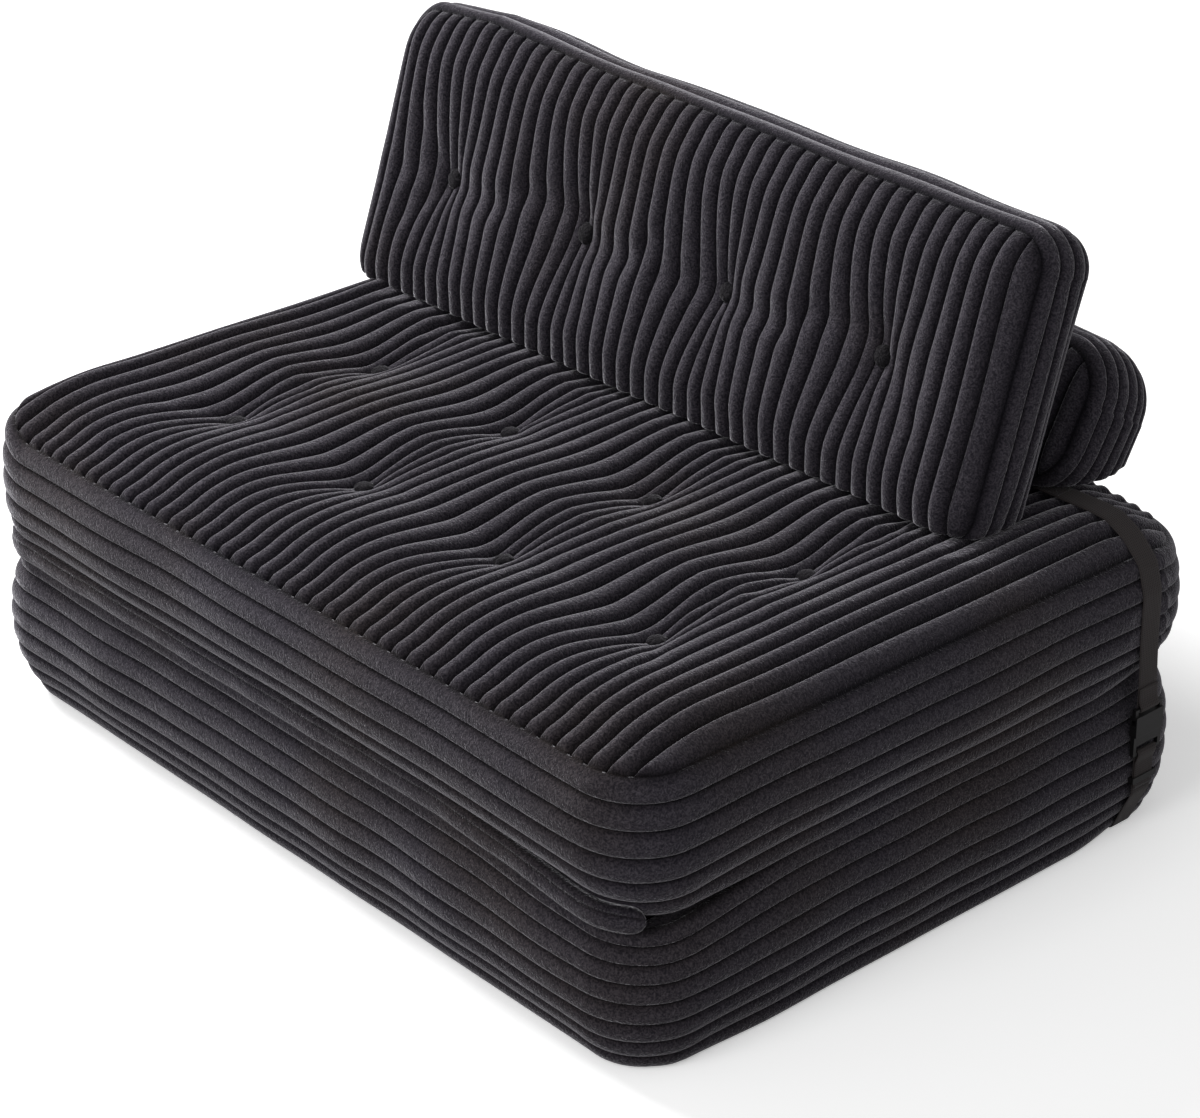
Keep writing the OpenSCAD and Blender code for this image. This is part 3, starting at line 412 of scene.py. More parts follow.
class Cover:
    """One ribbed cover, lying down with its main panel up and the underside of its band at z = 0."""

    def __init__(self, name, width, depth, corner_r, band_h, draw_low, draw_high, crown, back_crown, runs,
                 ribs, band_ribs, tufts, tuft_reach, seed, kept=(None, None), end_r=RIB_END_R,
                 rib_fill=PANEL_RIB_FILL, rib_depth=PANEL_RIB_DEPTH):
        self.name, self.seed = name, seed
        self.half = (width / 2, depth / 2)
        self.corner_r, self.band_h = corner_r, band_h
        self.draws = (draw_low, draw_high)
        self.crowns = (back_crown, crown)
        self.runs, self.ribs, self.band_ribs = runs, ribs, band_ribs
        self.tufts, self.tuft_reach = tufts, tuft_reach
        self.kept, self.end_r, self.rib_fill, self.rib_depth = kept, end_r, rib_fill, rib_depth

    def panel_size(self, side):
        """Half width, half depth and corner radius of the seam round a panel; side is 0 below, 1 above."""
        inset = self.draws[side] + BAND_SEAM_DEPTH
        return self.half[0] - inset, self.half[1] - inset, max(self.corner_r - inset, self.corner_r / 2)

    def panel_places(self, side, u, v):
        """Places of a panel's points from shares of its half width and half depth."""
        hx, hy, r = self.panel_size(side)
        x = u * hx
        over = np.clip(np.abs(x) - (hx - r), 0, r)
        reach = hy - r + np.sqrt(np.maximum(r * r - over * over, 0))
        return x, v * reach, hx - np.abs(x), reach * (1 - np.abs(v)), np.sqrt(np.maximum(1 - (over / r) ** 2, 0.12))

    def panel(self, side, u, v, ribbed):
        """Points of a panel, with the height of its ribs."""
        x, y, dx, dy, slant = self.panel_places(side, u, v)
        rise = (1 - (1 - np.minimum(dx / self.runs[0], 1)) ** 2) * (1 - (1 - np.minimum(dy / self.runs[1], 1)) ** 2)
        crown = self.crowns[side]
        proud = PANEL_RIB_RISE if crown else 0
        share = (u + 1) / 2 * self.ribs
        t = np.where(u >= 1, 0, share - np.floor(share))
        round_top = np.maximum(1 - (np.abs(2 * t - 1) / self.rib_fill) ** 2.2, 0) ** 0.5
        end = np.sqrt(np.maximum(1 - (1 - np.minimum(dy * slant / self.end_r, 1)) ** 2, 0))
        dip = self.dips(x, y) * side
        z = (crown - proud) * rise - dip
        if ribbed:
            open_end = np.minimum(dy * slant / (1.2 * MM), 1)
            border = np.minimum(dx / (30 * MM), 1)
            # Ribs lie flatter in a tuft's hollow
            flat = 1 - 0.65 * np.minimum(dip / (30 * MM), 1)
            rib = end * proud * round_top - open_end * (self.rib_depth - proud) * (1 - round_top) * border
            z = z + proud * (1 - flat) * end + rib * flat
            x = self.drawn_together(side, x, y, border * step_up(dy, 0, 60))
        else:
            z = z + end * proud * np.minimum(dx / RIB_END_R, 1)
        return np.stack([x, y, self.band_h * side + (2 * side - 1) * z], axis=-1), round_top * end

    def dips(self, x, y):
        """Depth that the tufts pull the main panel down: a steep funnel inside a wide hollow."""
        depth = 0 * x
        for tx, ty, pull in self.tufts:
            far = np.hypot(x - tx, (y - ty) * 0.9)
            depth = np.maximum(depth, pull * (0.28 * np.exp(-(far / (0.42 * self.tuft_reach)) ** 2)
                + 0.72 * np.exp(-(far / (1.15 * self.tuft_reach)) ** 2)))
        return depth

    def drawn_together(self, side, x, y, free):
        """Ribs wander a little, and bow towards each tuft."""
        shift = 1.8 * MM * drift(x, y, 320 * MM, self.seed + side)
        for tx, ty, _ in (self.tufts if side == 1 else []):
            far = np.hypot(x - tx, (y - ty) * 0.86)
            shift = shift - (x - tx) * 0.54 * np.exp(-(far / (0.86 * self.tuft_reach)) ** 2)
        return x + free * shift

    def band(self, rims, w, ribbed):
        """Rows of the side band between the two seams, with the height of its ribs."""
        place = np.sin(BAND_ARC * w) / sin(BAND_ARC)
        f = (place + 1) / 2
        draw = np.where(w < 0, *self.draws) * np.abs(place) ** BAND_POWER
        seam_draw = self.draws[0] * (1 - f) + self.draws[1] * f + BAND_SEAM_DEPTH
        share = (w + 1) / 2 * self.band_ribs
        t = np.where(np.abs(w) >= 1, 0, share - np.floor(share))
        round_top = np.maximum(1 - np.abs(2 * t ** 0.85 - 1) ** 2.5, 0) ** 0.5
        low, high = rims
        if ribbed:
            depth = np.where(np.abs(w) > 1 - 1 / self.band_ribs, BAND_SEAM_DEPTH, BAND_RIB_DEPTH)
            inset = draw + depth * (1 - round_top)
            free = np.cos(pi / 2 * w) ** 0.5
            wrinkle = 2 * MM * drift(length_along(high)[:, None], w * 60 * MM, 230 * MM, self.seed + 7) * free
        else:
            inset, wrinkle = draw + BAND_SEAM_DEPTH * np.abs(w) ** 12, 0
        points = low[:, None, :] * (1 - f)[:, None] + high[:, None, :] * f[:, None]
        points = points + self.outward(high)[:, None, :] * (seam_draw - inset + wrinkle)[..., None]
        return points, np.broadcast_to(round_top, points.shape[:2])

    def eased(self, points, reach, kept):
        """The foam fills out an edge that is drawn in, most along the straight sides."""
        x, y = points[..., 0], points[..., 1]
        qx, qy = np.abs(x) - (self.half[0] - self.corner_r), np.abs(y) - (self.half[1] - self.corner_r)
        corner = (qx > 0) & (qy > 0)
        far = np.maximum(np.hypot(np.maximum(qx, 0), np.maximum(qy, 0)), 1e-9)
        nx = np.where(corner, qx / far, qx > qy) * np.sign(x)
        ny = np.where(corner, qy / far, qx <= qy) * np.sign(y)
        near = step_up(qx, -120, 150) * step_up(qy, -120, 150)
        left = kept[0] * nx ** 2 + kept[1] * ny ** 2 + np.where(y > 0, 0.7, 0.3) * near
        shift = (1 - np.minimum(left, 1)) * BAND_DRAW_LOW * reach
        moved = points.copy()
        moved[..., 0] += nx * shift
        moved[..., 1] += ny * shift
        return moved

    def outward(self, rim):
        """Outward directions round a rim, level."""
        ahead = np.roll(rim, -1, axis=0) - np.roll(rim, 1, axis=0)
        out = np.stack([ahead[:, 1], -ahead[:, 0], 0 * ahead[:, 0]], axis=-1)
        return out / np.linalg.norm(out, axis=1)[:, None]

    def surfaces(self, u, v, w, ribbed):
        """Both panels and the band on one set of shares."""
        uu, vv = np.meshgrid(u, v, indexing="ij")
        panels = [self.panel(side, uu, vv, ribbed) for side in (0, 1)]
        rim = rim_of(len(u), len(v))
        band, band_height = self.band([points.reshape(-1, 3)[rim] for points, _ in panels], w, ribbed)
        for side, kept in enumerate(self.kept):
            if kept is None:
                continue
            dx, dy = self.panel_places(side, uu, vv)[2:4]
            fade = 1 - step_up(np.minimum(dx, dy), 0, 70)
            near = np.clip(np.sin(BAND_ARC * w) / sin(BAND_ARC) * (2 * side - 1), 0, 1) ** BAND_POWER
            panels[side] = self.eased(panels[side][0], fade, kept), panels[side][1]
            band = self.eased(band, near, kept)
        return panels[1], panels[0], (band[:, 1:-1], band_height[:, 1:-1]), rim

    def closed(self, name, u, v, w, ribbed, material):
        """One closed mesh: top panel, bottom panel, and the band between their rims. With it come its points and the
        height of the rib at each."""
        *surfaces, rim = self.surfaces(u, v, w, ribbed)
        count, rows = len(u) * len(v), len(w) - 2
        points = np.concatenate([s[0].reshape(-1, 3) for s in surfaces])
        heights = np.concatenate([s[1].ravel() for s in surfaces])
        rings = [count + rim] + [2 * count + np.arange(len(rim)) * rows + k for k in range(rows)] + [rim]
        sides = [np.stack([a, np.roll(a, -1), np.roll(b, -1), b], axis=-1) for a, b in zip(rings[:-1], rings[1:])]
        faces = [grid_faces(len(u), len(v)), grid_faces(len(u), len(v), count)[:, ::-1], np.concatenate(sides)]
        return piece_from(name, points, faces, material), points, heights


def step_up(value, start, run):
    """Smooth step from 0 to 1 as a value passes a start, over a run, both in mm."""
    t = np.clip((value - start * MM) / (run * MM), 0, 1)
    return t * t * (3 - 2 * t)


def soft_steps(half, row, ends=(0, 1, 2.5, 5, 8, 12, 17)):
    """Shares of a half depth from -1 to 1: close rows at both ends and even ones between."""
    near = np.array(ends) * MM
    middle = np.linspace(near[-1], 2 * half - near[-1], max(int((2 * half - 2 * near[-1]) / row), 4))
    far = 2 * half - near[::-1]
    return np.concatenate([near, middle[1:-1], far]) / half - 1


def rib_steps(ribs, cuts):
    """Shares from -1 to 1 across a row of ribs, each cut at the same places."""
    places = (np.arange(ribs)[:, None] + np.array(cuts)[None, :]).ravel() / ribs
    return np.append(places, 1) * 2 - 1


def catmull(values, place):
    """Smooth values of a table of rows at fractional row numbers."""
    last = len(values) - 1
    base = np.clip(np.floor(place).astype(int), 0, last - 1)
    t = (place - base)[:, None]
    p0, p1 = values[np.maximum(base - 1, 0)], values[base]
    p2, p3 = values[base + 1], values[np.minimum(base + 2, last)]
    return 0.5 * (2 * p1 + (p2 - p0) * t + (2 * p0 - 5 * p1 + 4 * p2 - p3) * t ** 2
        + (3 * p1 - p0 - 3 * p2 + p3) * t ** 3)


def spread(table, u_from, v_from, u_to, v_to):
    """A field known on a coarse grid of shares, worked out smoothly on a fine one."""
    half_way = catmull(table.reshape(len(u_from), -1), np.interp(u_to, u_from, np.arange(len(u_from))))
    turned = half_way.reshape(len(u_to), len(v_from), 3).transpose(1, 0, 2).reshape(len(v_from), -1)
    done = catmull(turned, np.interp(v_to, v_from, np.arange(len(v_from))))
    return done.reshape(len(v_to), len(u_to), 3).transpose(1, 0, 2)


def swollen(cover, u, v, w, cap):
    """Lets the stuffed cover swell as cloth under pressure, sewn down at its tufts and seams."""
    piece, before, _ = cover.closed(cover.name + "_swell", u, v, w, False, plush)
    held = np.zeros(len(before))
    for tx, ty, _ in cover.tufts:
        near = np.hypot(before[:, 0] - tx, before[:, 1] - ty) < 24 * MM
        held[near & (before[:, 2] > cover.band_h)] = 1
    held[rim_of(len(u), len(v))] = 0.9
    held[len(u) * len(v):2 * len(u) * len(v)] = 1
    group = piece.vertex_groups.new(name="sewn")
    for weight in (0.9, 1.0):
        group.add([int(k) for k in np.flatnonzero(held == weight)], weight, "REPLACE")
    cloth = piece.modifiers.new("stuffing", "CLOTH")
    for key, value in CLOTH.items():
        setattr(cloth.settings, key, value)
    cloth.settings.effector_weights.gravity = 0
    scene = bpy.context.scene
    for step in range(1, CLOTH_STEPS + 1):
        scene.frame_set(step)
    shaped = piece.evaluated_get(bpy.context.evaluated_depsgraph_get()).to_mesh()
    after = np.empty(len(before) * 3, dtype=np.float32)
    shaped.vertices.foreach_get("co", after)
    move = after.reshape(-1, 3) - before
    bpy.data.objects.remove(piece)
    scene.frame_set(1)
    far = np.linalg.norm(move, axis=1)
    print(cover.name, "swelled by up to", round(float(far.max()) / MM, 1), "mm")
    return move * (cap * np.tanh(far / cap) / np.maximum(far, 1e-9))[:, None]


def make_cover(cover, place, body, node, fill, cap):
    """The finished cover: swollen by cloth simulation, ribbed, and put where it belongs."""
    hx, hy = cover.panel_size(1)[:2]
    u, w = rib_steps(cover.ribs, PANEL_RIB_CUTS), rib_steps(cover.band_ribs, BAND_RIB_CUTS)
    v = soft_steps(hy, PANEL_ROW)
    piece, points, heights = cover.closed(cover.name, u, v, w, True, plush)
    cu, cv = (np.linspace(-1, 1, int(2 * half / SWELL_CELL) + 1) for half in (hx, hy))
    cw = np.linspace(-1, 1, 7)
    move = swollen(cover, cu, cv, cw, cap)
    coarse, count = len(cu) * len(cv), len(u) * len(v)
    points[:count] += spread(move[:coarse], cu, cv, u, v).reshape(-1, 3)
    edge = move[rim_of(len(cu), len(cv))][:, None]
    table = np.concatenate([0 * edge, move[2 * coarse:].reshape(len(edge), -1, 3), edge], axis=1)
    around = np.append(rim_stations(cu, cv), 4)
    band = spread(np.concatenate([table, table[:1]]), around, cw, rim_stations(u, v), w)
    points[2 * count:] += band[:, 1:-1].reshape(-1, 3)
    reshaped(piece, place(points))
    # The height of the ribs sets the plush's painted valley shade and painted crest highlight
    keep_value(piece, "rib_height", heights)
    belongs(piece, body, "ribbed_plush", node, fill=fill)
    return piece


def make_foam(cover, place, body, node):
    """The foam inside a cover: the same form without ribs, a rib's depth further in."""
    u, v = (np.linspace(-1, 1, int(2 * half / FOAM_CELL) + 1) for half in cover.panel_size(1)[:2])
    name = cover.name.replace("cover_plush", "foam_cut")
    piece, points, _ = cover.closed(name, u, v, np.linspace(-1, 1, 9), False, foam_cells)
    points = place(points)
    reshaped(piece, points)
    inward = np.empty(len(points) * 3, dtype=np.float32)
    piece.data.vertices.foreach_get("normal", inward)
    reshaped(piece, points - inward.reshape(-1, 3) * FOAM_DEPTH)
    belongs(piece, body, "foam", node, fill=1.0)


def rim_stations(u, v):
    """Place of each rim point round the rim, from 0 to 4 with a whole number at each corner."""
    su, sv = (u + 1) / 2, (v + 1) / 2
    top = 1 - su[::-1]
    left = 1 + (1 - sv[-2::-1])
    bottom = 2 + su[1:]
    right = 3 + sv[1:-1]
    return np.concatenate([top, left, bottom, right])


# Slabs
def share_of_height(points, height):
    """How far up a slab's points are, squared: none at its foot, all at its top seam and above."""
    return np.clip(points[:, 2] / height, 0, 1) ** 2


def beside_straps(points):
    """The straps and buckles press a flat channel into both sides."""
    x, y, z = points.T
    limit = SIDE_X + 14 * MM * step_up(np.abs(y - STRAP_Y), 24, 30)
    return np.stack([np.sign(x) * np.minimum(np.abs(x), limit), y, z], axis=-1)


def zip_bed(points, rear_y, mid_z):
    """The two ribs beside a zip part round its teeth."""
    x, y, z = points.T
    off = np.abs(z - mid_z)
    ends = 1 - step_up(np.abs(x) - SLAB_ZIP_L / 2, 2, 14)
    bed = 8 * MM * (1 - step_up(off, 6.5, 6)) * ends
    inside = (y > rear_y - 30 * MM) & (off < 12.5 * MM)
    return np.stack([x, np.where(inside, np.minimum(y, rear_y - bed), y), z], axis=-1)


def corner_sag(x, y):
    """Share of the sag at the front right corner, where the lower slab's foam is softest."""
    return step_up(x, 260, 310) * (1 - step_up(y, -400, 210))


def tucked_corner(points, most):
    """The rear corners are stuffed less than the rest."""
    x, y, z = points.T
    rear = most * step_up(y, 330, 90) * step_up(np.abs(x), 470, 100)
    return np.stack([x - np.sign(x) * rear, y - rear, z], axis=-1)


def at_seat(points):
    """Seat cover in its place: fuller along its left side, lower at its rear shoulders, flat where it is loaded."""
    x, y, z = points.T
    moved = tucked_corner(points, 6 * MM)
    high = share_of_height(points, SEAT_BAND_H)
    left = step_up(-x, 500, 60)
    shoulder = step_up(np.abs(x), 380, 160) * step_up(y, 325, 90)
    # The straps press into the top where they cross it
    strap = np.exp(-((y + SEAT_MID_Y - STRAP_Y) / (24 * MM)) ** 4) * step_up(np.abs(x) - SIDE_X + WEB_REACH, -30, 60)
    moved[:, 2] += high * (18 * MM * left * (1 - shoulder) - 14 * MM * shoulder)
    moved[:, 2] -= SEAT_SAG * (1 - high) * corner_sag(x, y) + 2.5 * MM * strap * (z > SEAT_BAND_H)
    # Under the cushions the top is flat, in front of them it may crown a little more
    free = 1 - 1 / (1 + np.exp(-(y - 108 * MM) / (6 * MM)))
    soft = 3 * MM
    limit = SEAT_BAND_H + SEAT_CROWN + 7 * MM * free + 14 * MM * left - 0.2 * MM - soft
    past = moved[:, 2] - limit
    moved[:, 2] = np.where(past > 0, limit + soft * np.tanh(past / soft), moved[:, 2])
    moved = beside_straps(moved + np.array([0, SEAT_MID_Y, SEAT_Z]))
    return zip_bed(moved, LOWER_D / 2 + SEAT_OVERHANG, SEAT_Z + SEAT_BAND_H / 2)


def at_floor(points):
    """Lower cover in its place: its front left corner bulges under the seat's, the front right one sinks."""
    x, y, z = points.T
    bulge = 9 * MM * np.sin(pi * np.clip(z / LOWER_H, 0, 1)) * step_up(-x, 480, 90) * step_up(-y, 330, 90)
    sunk = LOWER_SAG * share_of_height(points, LOWER_H) * corner_sag(x, y)
    moved = tucked_corner(points, 5 * MM) - np.stack([bulge, bulge * 0.4, sunk], axis=-1)
    return zip_bed(beside_straps(moved), LOWER_D / 2, LOWER_H / 2)


seat_tufts = [(k * TUFT_PITCH_X, TUFT_SHIFT_Y + m * TUFT_PITCH_Y, SEAT_TUFT_DEPTH)
    for k in (-1.5, -0.5, 0.5, 1.5) for m in (-1, 0, 1)]
slab_runs = (SEAT_SIDE_RUN, SEAT_CROWN_RUN)
seat = Cover("seat_cover_plush", SLAB_W, LOWER_D + SEAT_OVERHANG, SLAB_CORNER_R, SEAT_BAND_H, BAND_DRAW_LOW,
    BAND_DRAW_HIGH, SEAT_CROWN, 0, slab_runs, 48, 6, seat_tufts, SEAT_TUFT_REACH, 1, (STRIP_KEPT, None))
lower = Cover("lower_cover_plush", SLAB_W, LOWER_D, SLAB_CORNER_R, LOWER_H, BAND_DRAW_LOW, BAND_DRAW_LOW,
    0, 0, slab_runs, 48, 8, [], SEAT_TUFT_REACH, 2, (FLOOR_KEPT, GROOVE_KEPT))
seat_plush = make_cover(seat, at_seat, "seat_section", "seat_cover", 0.9, 7 * MM)
lower_plush = make_cover(lower, at_floor, "lower_section", "lower_cover", 0.95, 4 * MM)
make_foam(seat, at_seat, "seat_section", "seat_foam_core")
make_foam(lower, at_floor, "lower_section", "lower_foam_core")


# Back cushions
def stood(foot_y, foot_z, lean, height, thickness, crown, cut, zip_y, raised, side):
    """Stands a lying cushion on its foot, flattens the foam where it rests, and leaves a groove for its zip."""
    turn = pi / 2 - lean

    def place(points):
        x = points[:, 0] - side
        y = points[:, 1] + height / 2
        z = points[:, 2] + crown - thickness
        stood_y = y * cos(turn) - z * sin(turn) + foot_y
        stood_z = y * sin(turn) + z * cos(turn) + foot_z
        up = np.clip((stood_z - cut) / (height * cos(lean)), 0, 1)
        stood_z = stood_z + up ** 2 * np.interp(x, *raised)
        x = x + up ** 2 * 12 * MM * step_up(-x, 480, 130) * (len(raised[0]) > 2)
        low = cut - stood_z
        soft = 4 * MM
        flat = np.where(low > -soft, cut + soft * np.exp(-(low + soft) / soft), stood_z)
        ends = 1 - step_up(np.abs(x + CUSHION_SIDE) - CUSHION_ZIP_L / 2, 2, 12)
        flat += 4.6 * MM * np.exp(-((stood_y - zip_y) / (6.5 * MM)) ** 4) * ends * (flat < cut + 2 * soft)
        return np.stack([x, stood_y, flat], axis=-1)
    return place


def foot_zip_y(foot_y, lean, thickness, press):
    """Where the zip runs under a cushion's foot."""
    return foot_y + thickness / 2 * cos(lean) + press * sin(lean)


front_t = FRONT_BAND_H + 2 * FRONT_CROWN
rear_t = REAR_BAND_H + 2 * REAR_CROWN
front_cut = SEAT_TOP + GAP
rear_cut = SEAT_TOP + WEB_T + 2 * GAP
front_zip_y = foot_zip_y(FRONT_FOOT_Y, FRONT_LEAN, front_t, FRONT_PRESS)
rear_zip_y = foot_zip_y(REAR_FOOT_Y, REAR_LEAN, rear_t, REAR_PRESS)
# The front cushion's top edge is fuller towards its left end
front_raised = (np.array([-625, -569, -448, -334, -223, -13, 183, 452, 485]) * MM,
    np.array([2, 14, 25, 17, 10, 5, -3, -8, -10]) * MM)
level = (np.array([-1.0, 1.0]), np.zeros(2))
front_tufts = [(k * TUFT_PITCH_X - 16 * MM, -9 * MM, FRONT_TUFT_DEPTH) for k in (-1.5, -0.5, 0.5, 1.5)]
cushion_runs = (CUSHION_CROWN_RUN, CUSHION_CROWN_RUN)
front = Cover("front_cushion_cover_plush", CUSHION_W, FRONT_H, FRONT_CORNER_R, FRONT_BAND_H - 6 * MM, CUSHION_DRAW,
    FRONT_EDGE_DRAW, FRONT_CROWN + 6 * MM, FRONT_CROWN, cushion_runs, 44, 4, front_tufts, FRONT_TUFT_REACH, 3,
    end_r=CUSHION_END_R, rib_fill=CUSHION_RIB_FILL, rib_depth=CUSHION_RIB_DEPTH)
rear = Cover("rear_cushion_cover_plush", CUSHION_W, REAR_H, REAR_CORNER_R, REAR_BAND_H, CUSHION_DRAW,
    CUSHION_DRAW, REAR_CROWN, REAR_CROWN, cushion_runs, 44, 6, [], FRONT_TUFT_REACH, 4,
    rib_fill=CUSHION_RIB_FILL, rib_depth=CUSHION_RIB_DEPTH)
# The front cushion stands 6 mm to the right of its solid, as the photograph shows it
front_stand = stood(FRONT_FOOT_Y, SEAT_TOP - FRONT_PRESS, FRONT_LEAN, FRONT_H, front_t, FRONT_CROWN, front_cut,
    front_zip_y, front_raised, CUSHION_SIDE - 6 * MM)
rear_stand = stood(REAR_FOOT_Y, SEAT_TOP - REAR_PRESS, REAR_LEAN, REAR_H, rear_t, REAR_CROWN, rear_cut,
    rear_zip_y, level, CUSHION_SIDE)
make_cover(front, front_stand, "front_cushion", "front_cushion_cover", 0.9, 6 * MM)
make_cover(rear, rear_stand, "rear_cushion", "rear_cushion_cover", 0.85, 6 * MM)
make_foam(front, front_stand, "front_cushion", "front_cushion_foam")
make_foam(rear, rear_stand, "rear_cushion", "rear_cushion_foam")


# Covered buttons
def dome(radius, proud, sunk, seed):
    """One covered button, lying: pleated plush gathered over a domed shell. Gives its points, sides, caps, and a share
    of height that paints shade darker towards its base."""
    k = np.arange(BUTTON_PLACES)
    ring = k * 2 * pi / BUTTON_PLACES
    rows = [(0.86, -sunk), (1.0, -0.35 * sunk), (1.02, 0.12 * proud), (0.97, 0.38 * proud), (0.86, 0.62 * proud),
        (0.7, 0.82 * proud), (0.46, 0.95 * proud), (0.2, proud)]
    points = []
    for share, z in rows:
        pleat = 1 + 0.045 * np.cos(6 * ring + seed) + 0.015 * np.sin(11 * ring + 2 * seed) * min(share ** 3, 1)
        points.append(np.stack([radius * share * pleat * np.cos(ring), radius * share * pleat * np.sin(ring),
            z + 0.4 * MM * np.sin(9 * ring + seed + 1) * share], axis=-1))
    points = np.concatenate(points + [np.array([[0, 0, proud], [0, 0, -sunk]])])
    after, top = np.roll(k, -1), len(rows) * BUTTON_PLACES
    last = top - BUTTON_PLACES
    crown = np.stack([last + k, last + after, 0 * k + top], axis=-1)
    base = np.stack([after, k, 0 * k + top + 1], axis=-1)
    # Painted shade: the plush is darker towards the button's base
    height = np.clip(0.35 + 0.65 * points[:, 2] / proud, 0.2, 1)
    return points, tube_faces(len(rows), BUTTON_PLACES), np.concatenate([crown, base]), height


def buttons(name, cover, place, radius, proud, sunk, body, node):
    """All the buttons of a cover, each on the fabric round its own tuft."""
    hx, hy = cover.panel_size(1)[:2]
    around = np.linspace(0, 2 * pi, 13)[:-1]
    made = []
    for count, (tx, ty, _) in enumerate(cover.tufts):
        near_x, near_y = tx + radius * 1.1 * np.cos(around), ty + radius * 1.1 * np.sin(around)
        fabric = cover.panel(1, near_x / hx, near_y / hy, True)[0][:, 2]
        points, sides, caps, height = dome(radius, proud, sunk, 1.3 * count)
        first = count * len(points)
        made.append((points + np.array([tx, ty, float(np.mean(fabric))]), sides + first, caps + first, height))
    points, sides, caps, heights = (np.concatenate(part) for part in zip(*made))
    piece = piece_from(name, place(points), [sides, caps], shaded_button_plush)
    keep_value(piece, "rib_height", heights)
    belongs(piece, body, "button_plush", node)


buttons("seat_buttons_plush", seat, lambda points: points + np.array([0, SEAT_MID_Y, SEAT_Z]), 12.5 * MM, 7 * MM,
    5 * MM, "seat_section", "seat_buttons")
buttons("front_cushion_buttons_plush", front, front_stand, 13.5 * MM, 9 * MM, 5 * MM, "front_cushion",
    "front_cushion_buttons")


# Hinge strip
def strip_outline(inset, stations):
    """Points of the strip's path at one inset from the slab's face: along the front and round both corners."""
    straight = SIDE_X - SLAB_CORNER_R
    turn_l = SLAB_CORNER_R * STRIP_TURN
    s = stations * (straight + turn_l)
    past = np.maximum(np.abs(s) - straight, 0) / SLAB_CORNER_R
    radius = SLAB_CORNER_R - inset
    x = np.sign(s) * (np.minimum(np.abs(s), straight) + radius * np.sin(past))
    y = FRONT_Y + SLAB_CORNER_R - radius * np.cos(past)
    return x, y


def strip_fall(x, y, share):
    """How far the strip lies off its level: it waves a little, and sinks with the lower slab's corner."""
    return 0.8 * MM * drift(share * 600 * MM, 0 * share, 150 * MM, 12) - STRIP_SAG * corner_sag(x, y)


def hinge_strip():
    """One padded rib of plush sewn across the groove: to the lower slab's top edge and the seat's first valley."""
    # Height and inset of the section's points, its outer face first
    section = np.array([(226.8, 15.5), (226, 9.5), (223.6, 5.2), (220.8, 4.6), (218.8, 5.8), (216.2, 3.8), (211, 2.2),
        (205.5, 2.5), (200.8, 4.2), (197.8, 7), (196.4, 11), (198, 13.5), (203, 11), (211, 10.5), (218, 11),
        (223.5, 15)]) * MM
    # How high each point stands on the strip's ribs: it sets the ripple, and through rib_height the painted valley
    # shade and crest highlight
    crest = np.array([0, 0.4, 0.8, 0.7, 0.2, 0.8, 1, 1, 0.8, 0.35, 0.1, 0, 0, 0, 0, 0])
    share = np.linspace(-1, 1, 260)
    mid_z, mid_in = 211 * MM, 10 * MM
    # The section closes to a round end
    full = np.sqrt(np.clip(1 - ((np.abs(share) - 0.965) / 0.036).clip(0, 1) ** 2, 0.02, 1))
    rows, ring = len(share), len(section)
    points = np.empty((rows, ring, 3))
    for k, (z, inset) in enumerate(section):
        ripple = 0.9 * MM * drift(share * 600 * MM, 0 * share + z, 90 * MM, 11) * crest[k]
        x, y = strip_outline(mid_in + (inset - mid_in) * full - ripple, share)
        points[:, k] = np.stack([x, y, mid_z + (z - mid_z) * full + strip_fall(x, y, share)], axis=-1)
    ends = np.array([(0, k + 1, k) for k in range(1, ring - 1)])
    far = (rows - 1) * ring + ends[:, [0, 2, 1]]
    piece = piece_from("hinge_strip_plush", points.reshape(-1, 3), [tube_faces(rows, ring), ends, far], plush)
    keep_value(piece, "rib_height", np.tile(crest, rows))
    face_out(piece)
    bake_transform(piece, "lower_section", "seat_section", start=(0, FRONT_Y, 188 * MM), end=(0, FRONT_Y, 208 * MM))
    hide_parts("hinge_strip_lower", "hinge_strip_upper")


hinge_strip()


# Webbing
def even_line(line, step):
    """A line of points resampled at even steps."""
    along = length_along(line)
    places = np.linspace(0, along[-1], int(along[-1] / step) + 1)
    return np.stack([np.interp(places, along, part) for part in line.T], axis=-1)


def pulled_over(cover_piece, first, last):
    """Line of a strap pulled tight over the fabric of the right side, in x and z: the hull of what lies under it."""
    points = np.empty(len(cover_piece.data.vertices) * 3, dtype=np.float32)
    cover_piece.data.vertices.foreach_get("co", points)
    points = points.reshape(-1, 3)
    under = points[(np.abs(points[:, 1] - STRAP_Y) < WEB_W / 2) & (points[:, 0] > SIDE_X - WEB_REACH)][:, [0, 2]]
    line = []
    for turn in np.radians(np.linspace(first, last, 60)):
        way = np.array([cos(turn), sin(turn)])
        line.append(under[int(np.argmax(under @ way))] + way * (WEB_T / 2 + 0.3 * MM))
    return np.array(line)


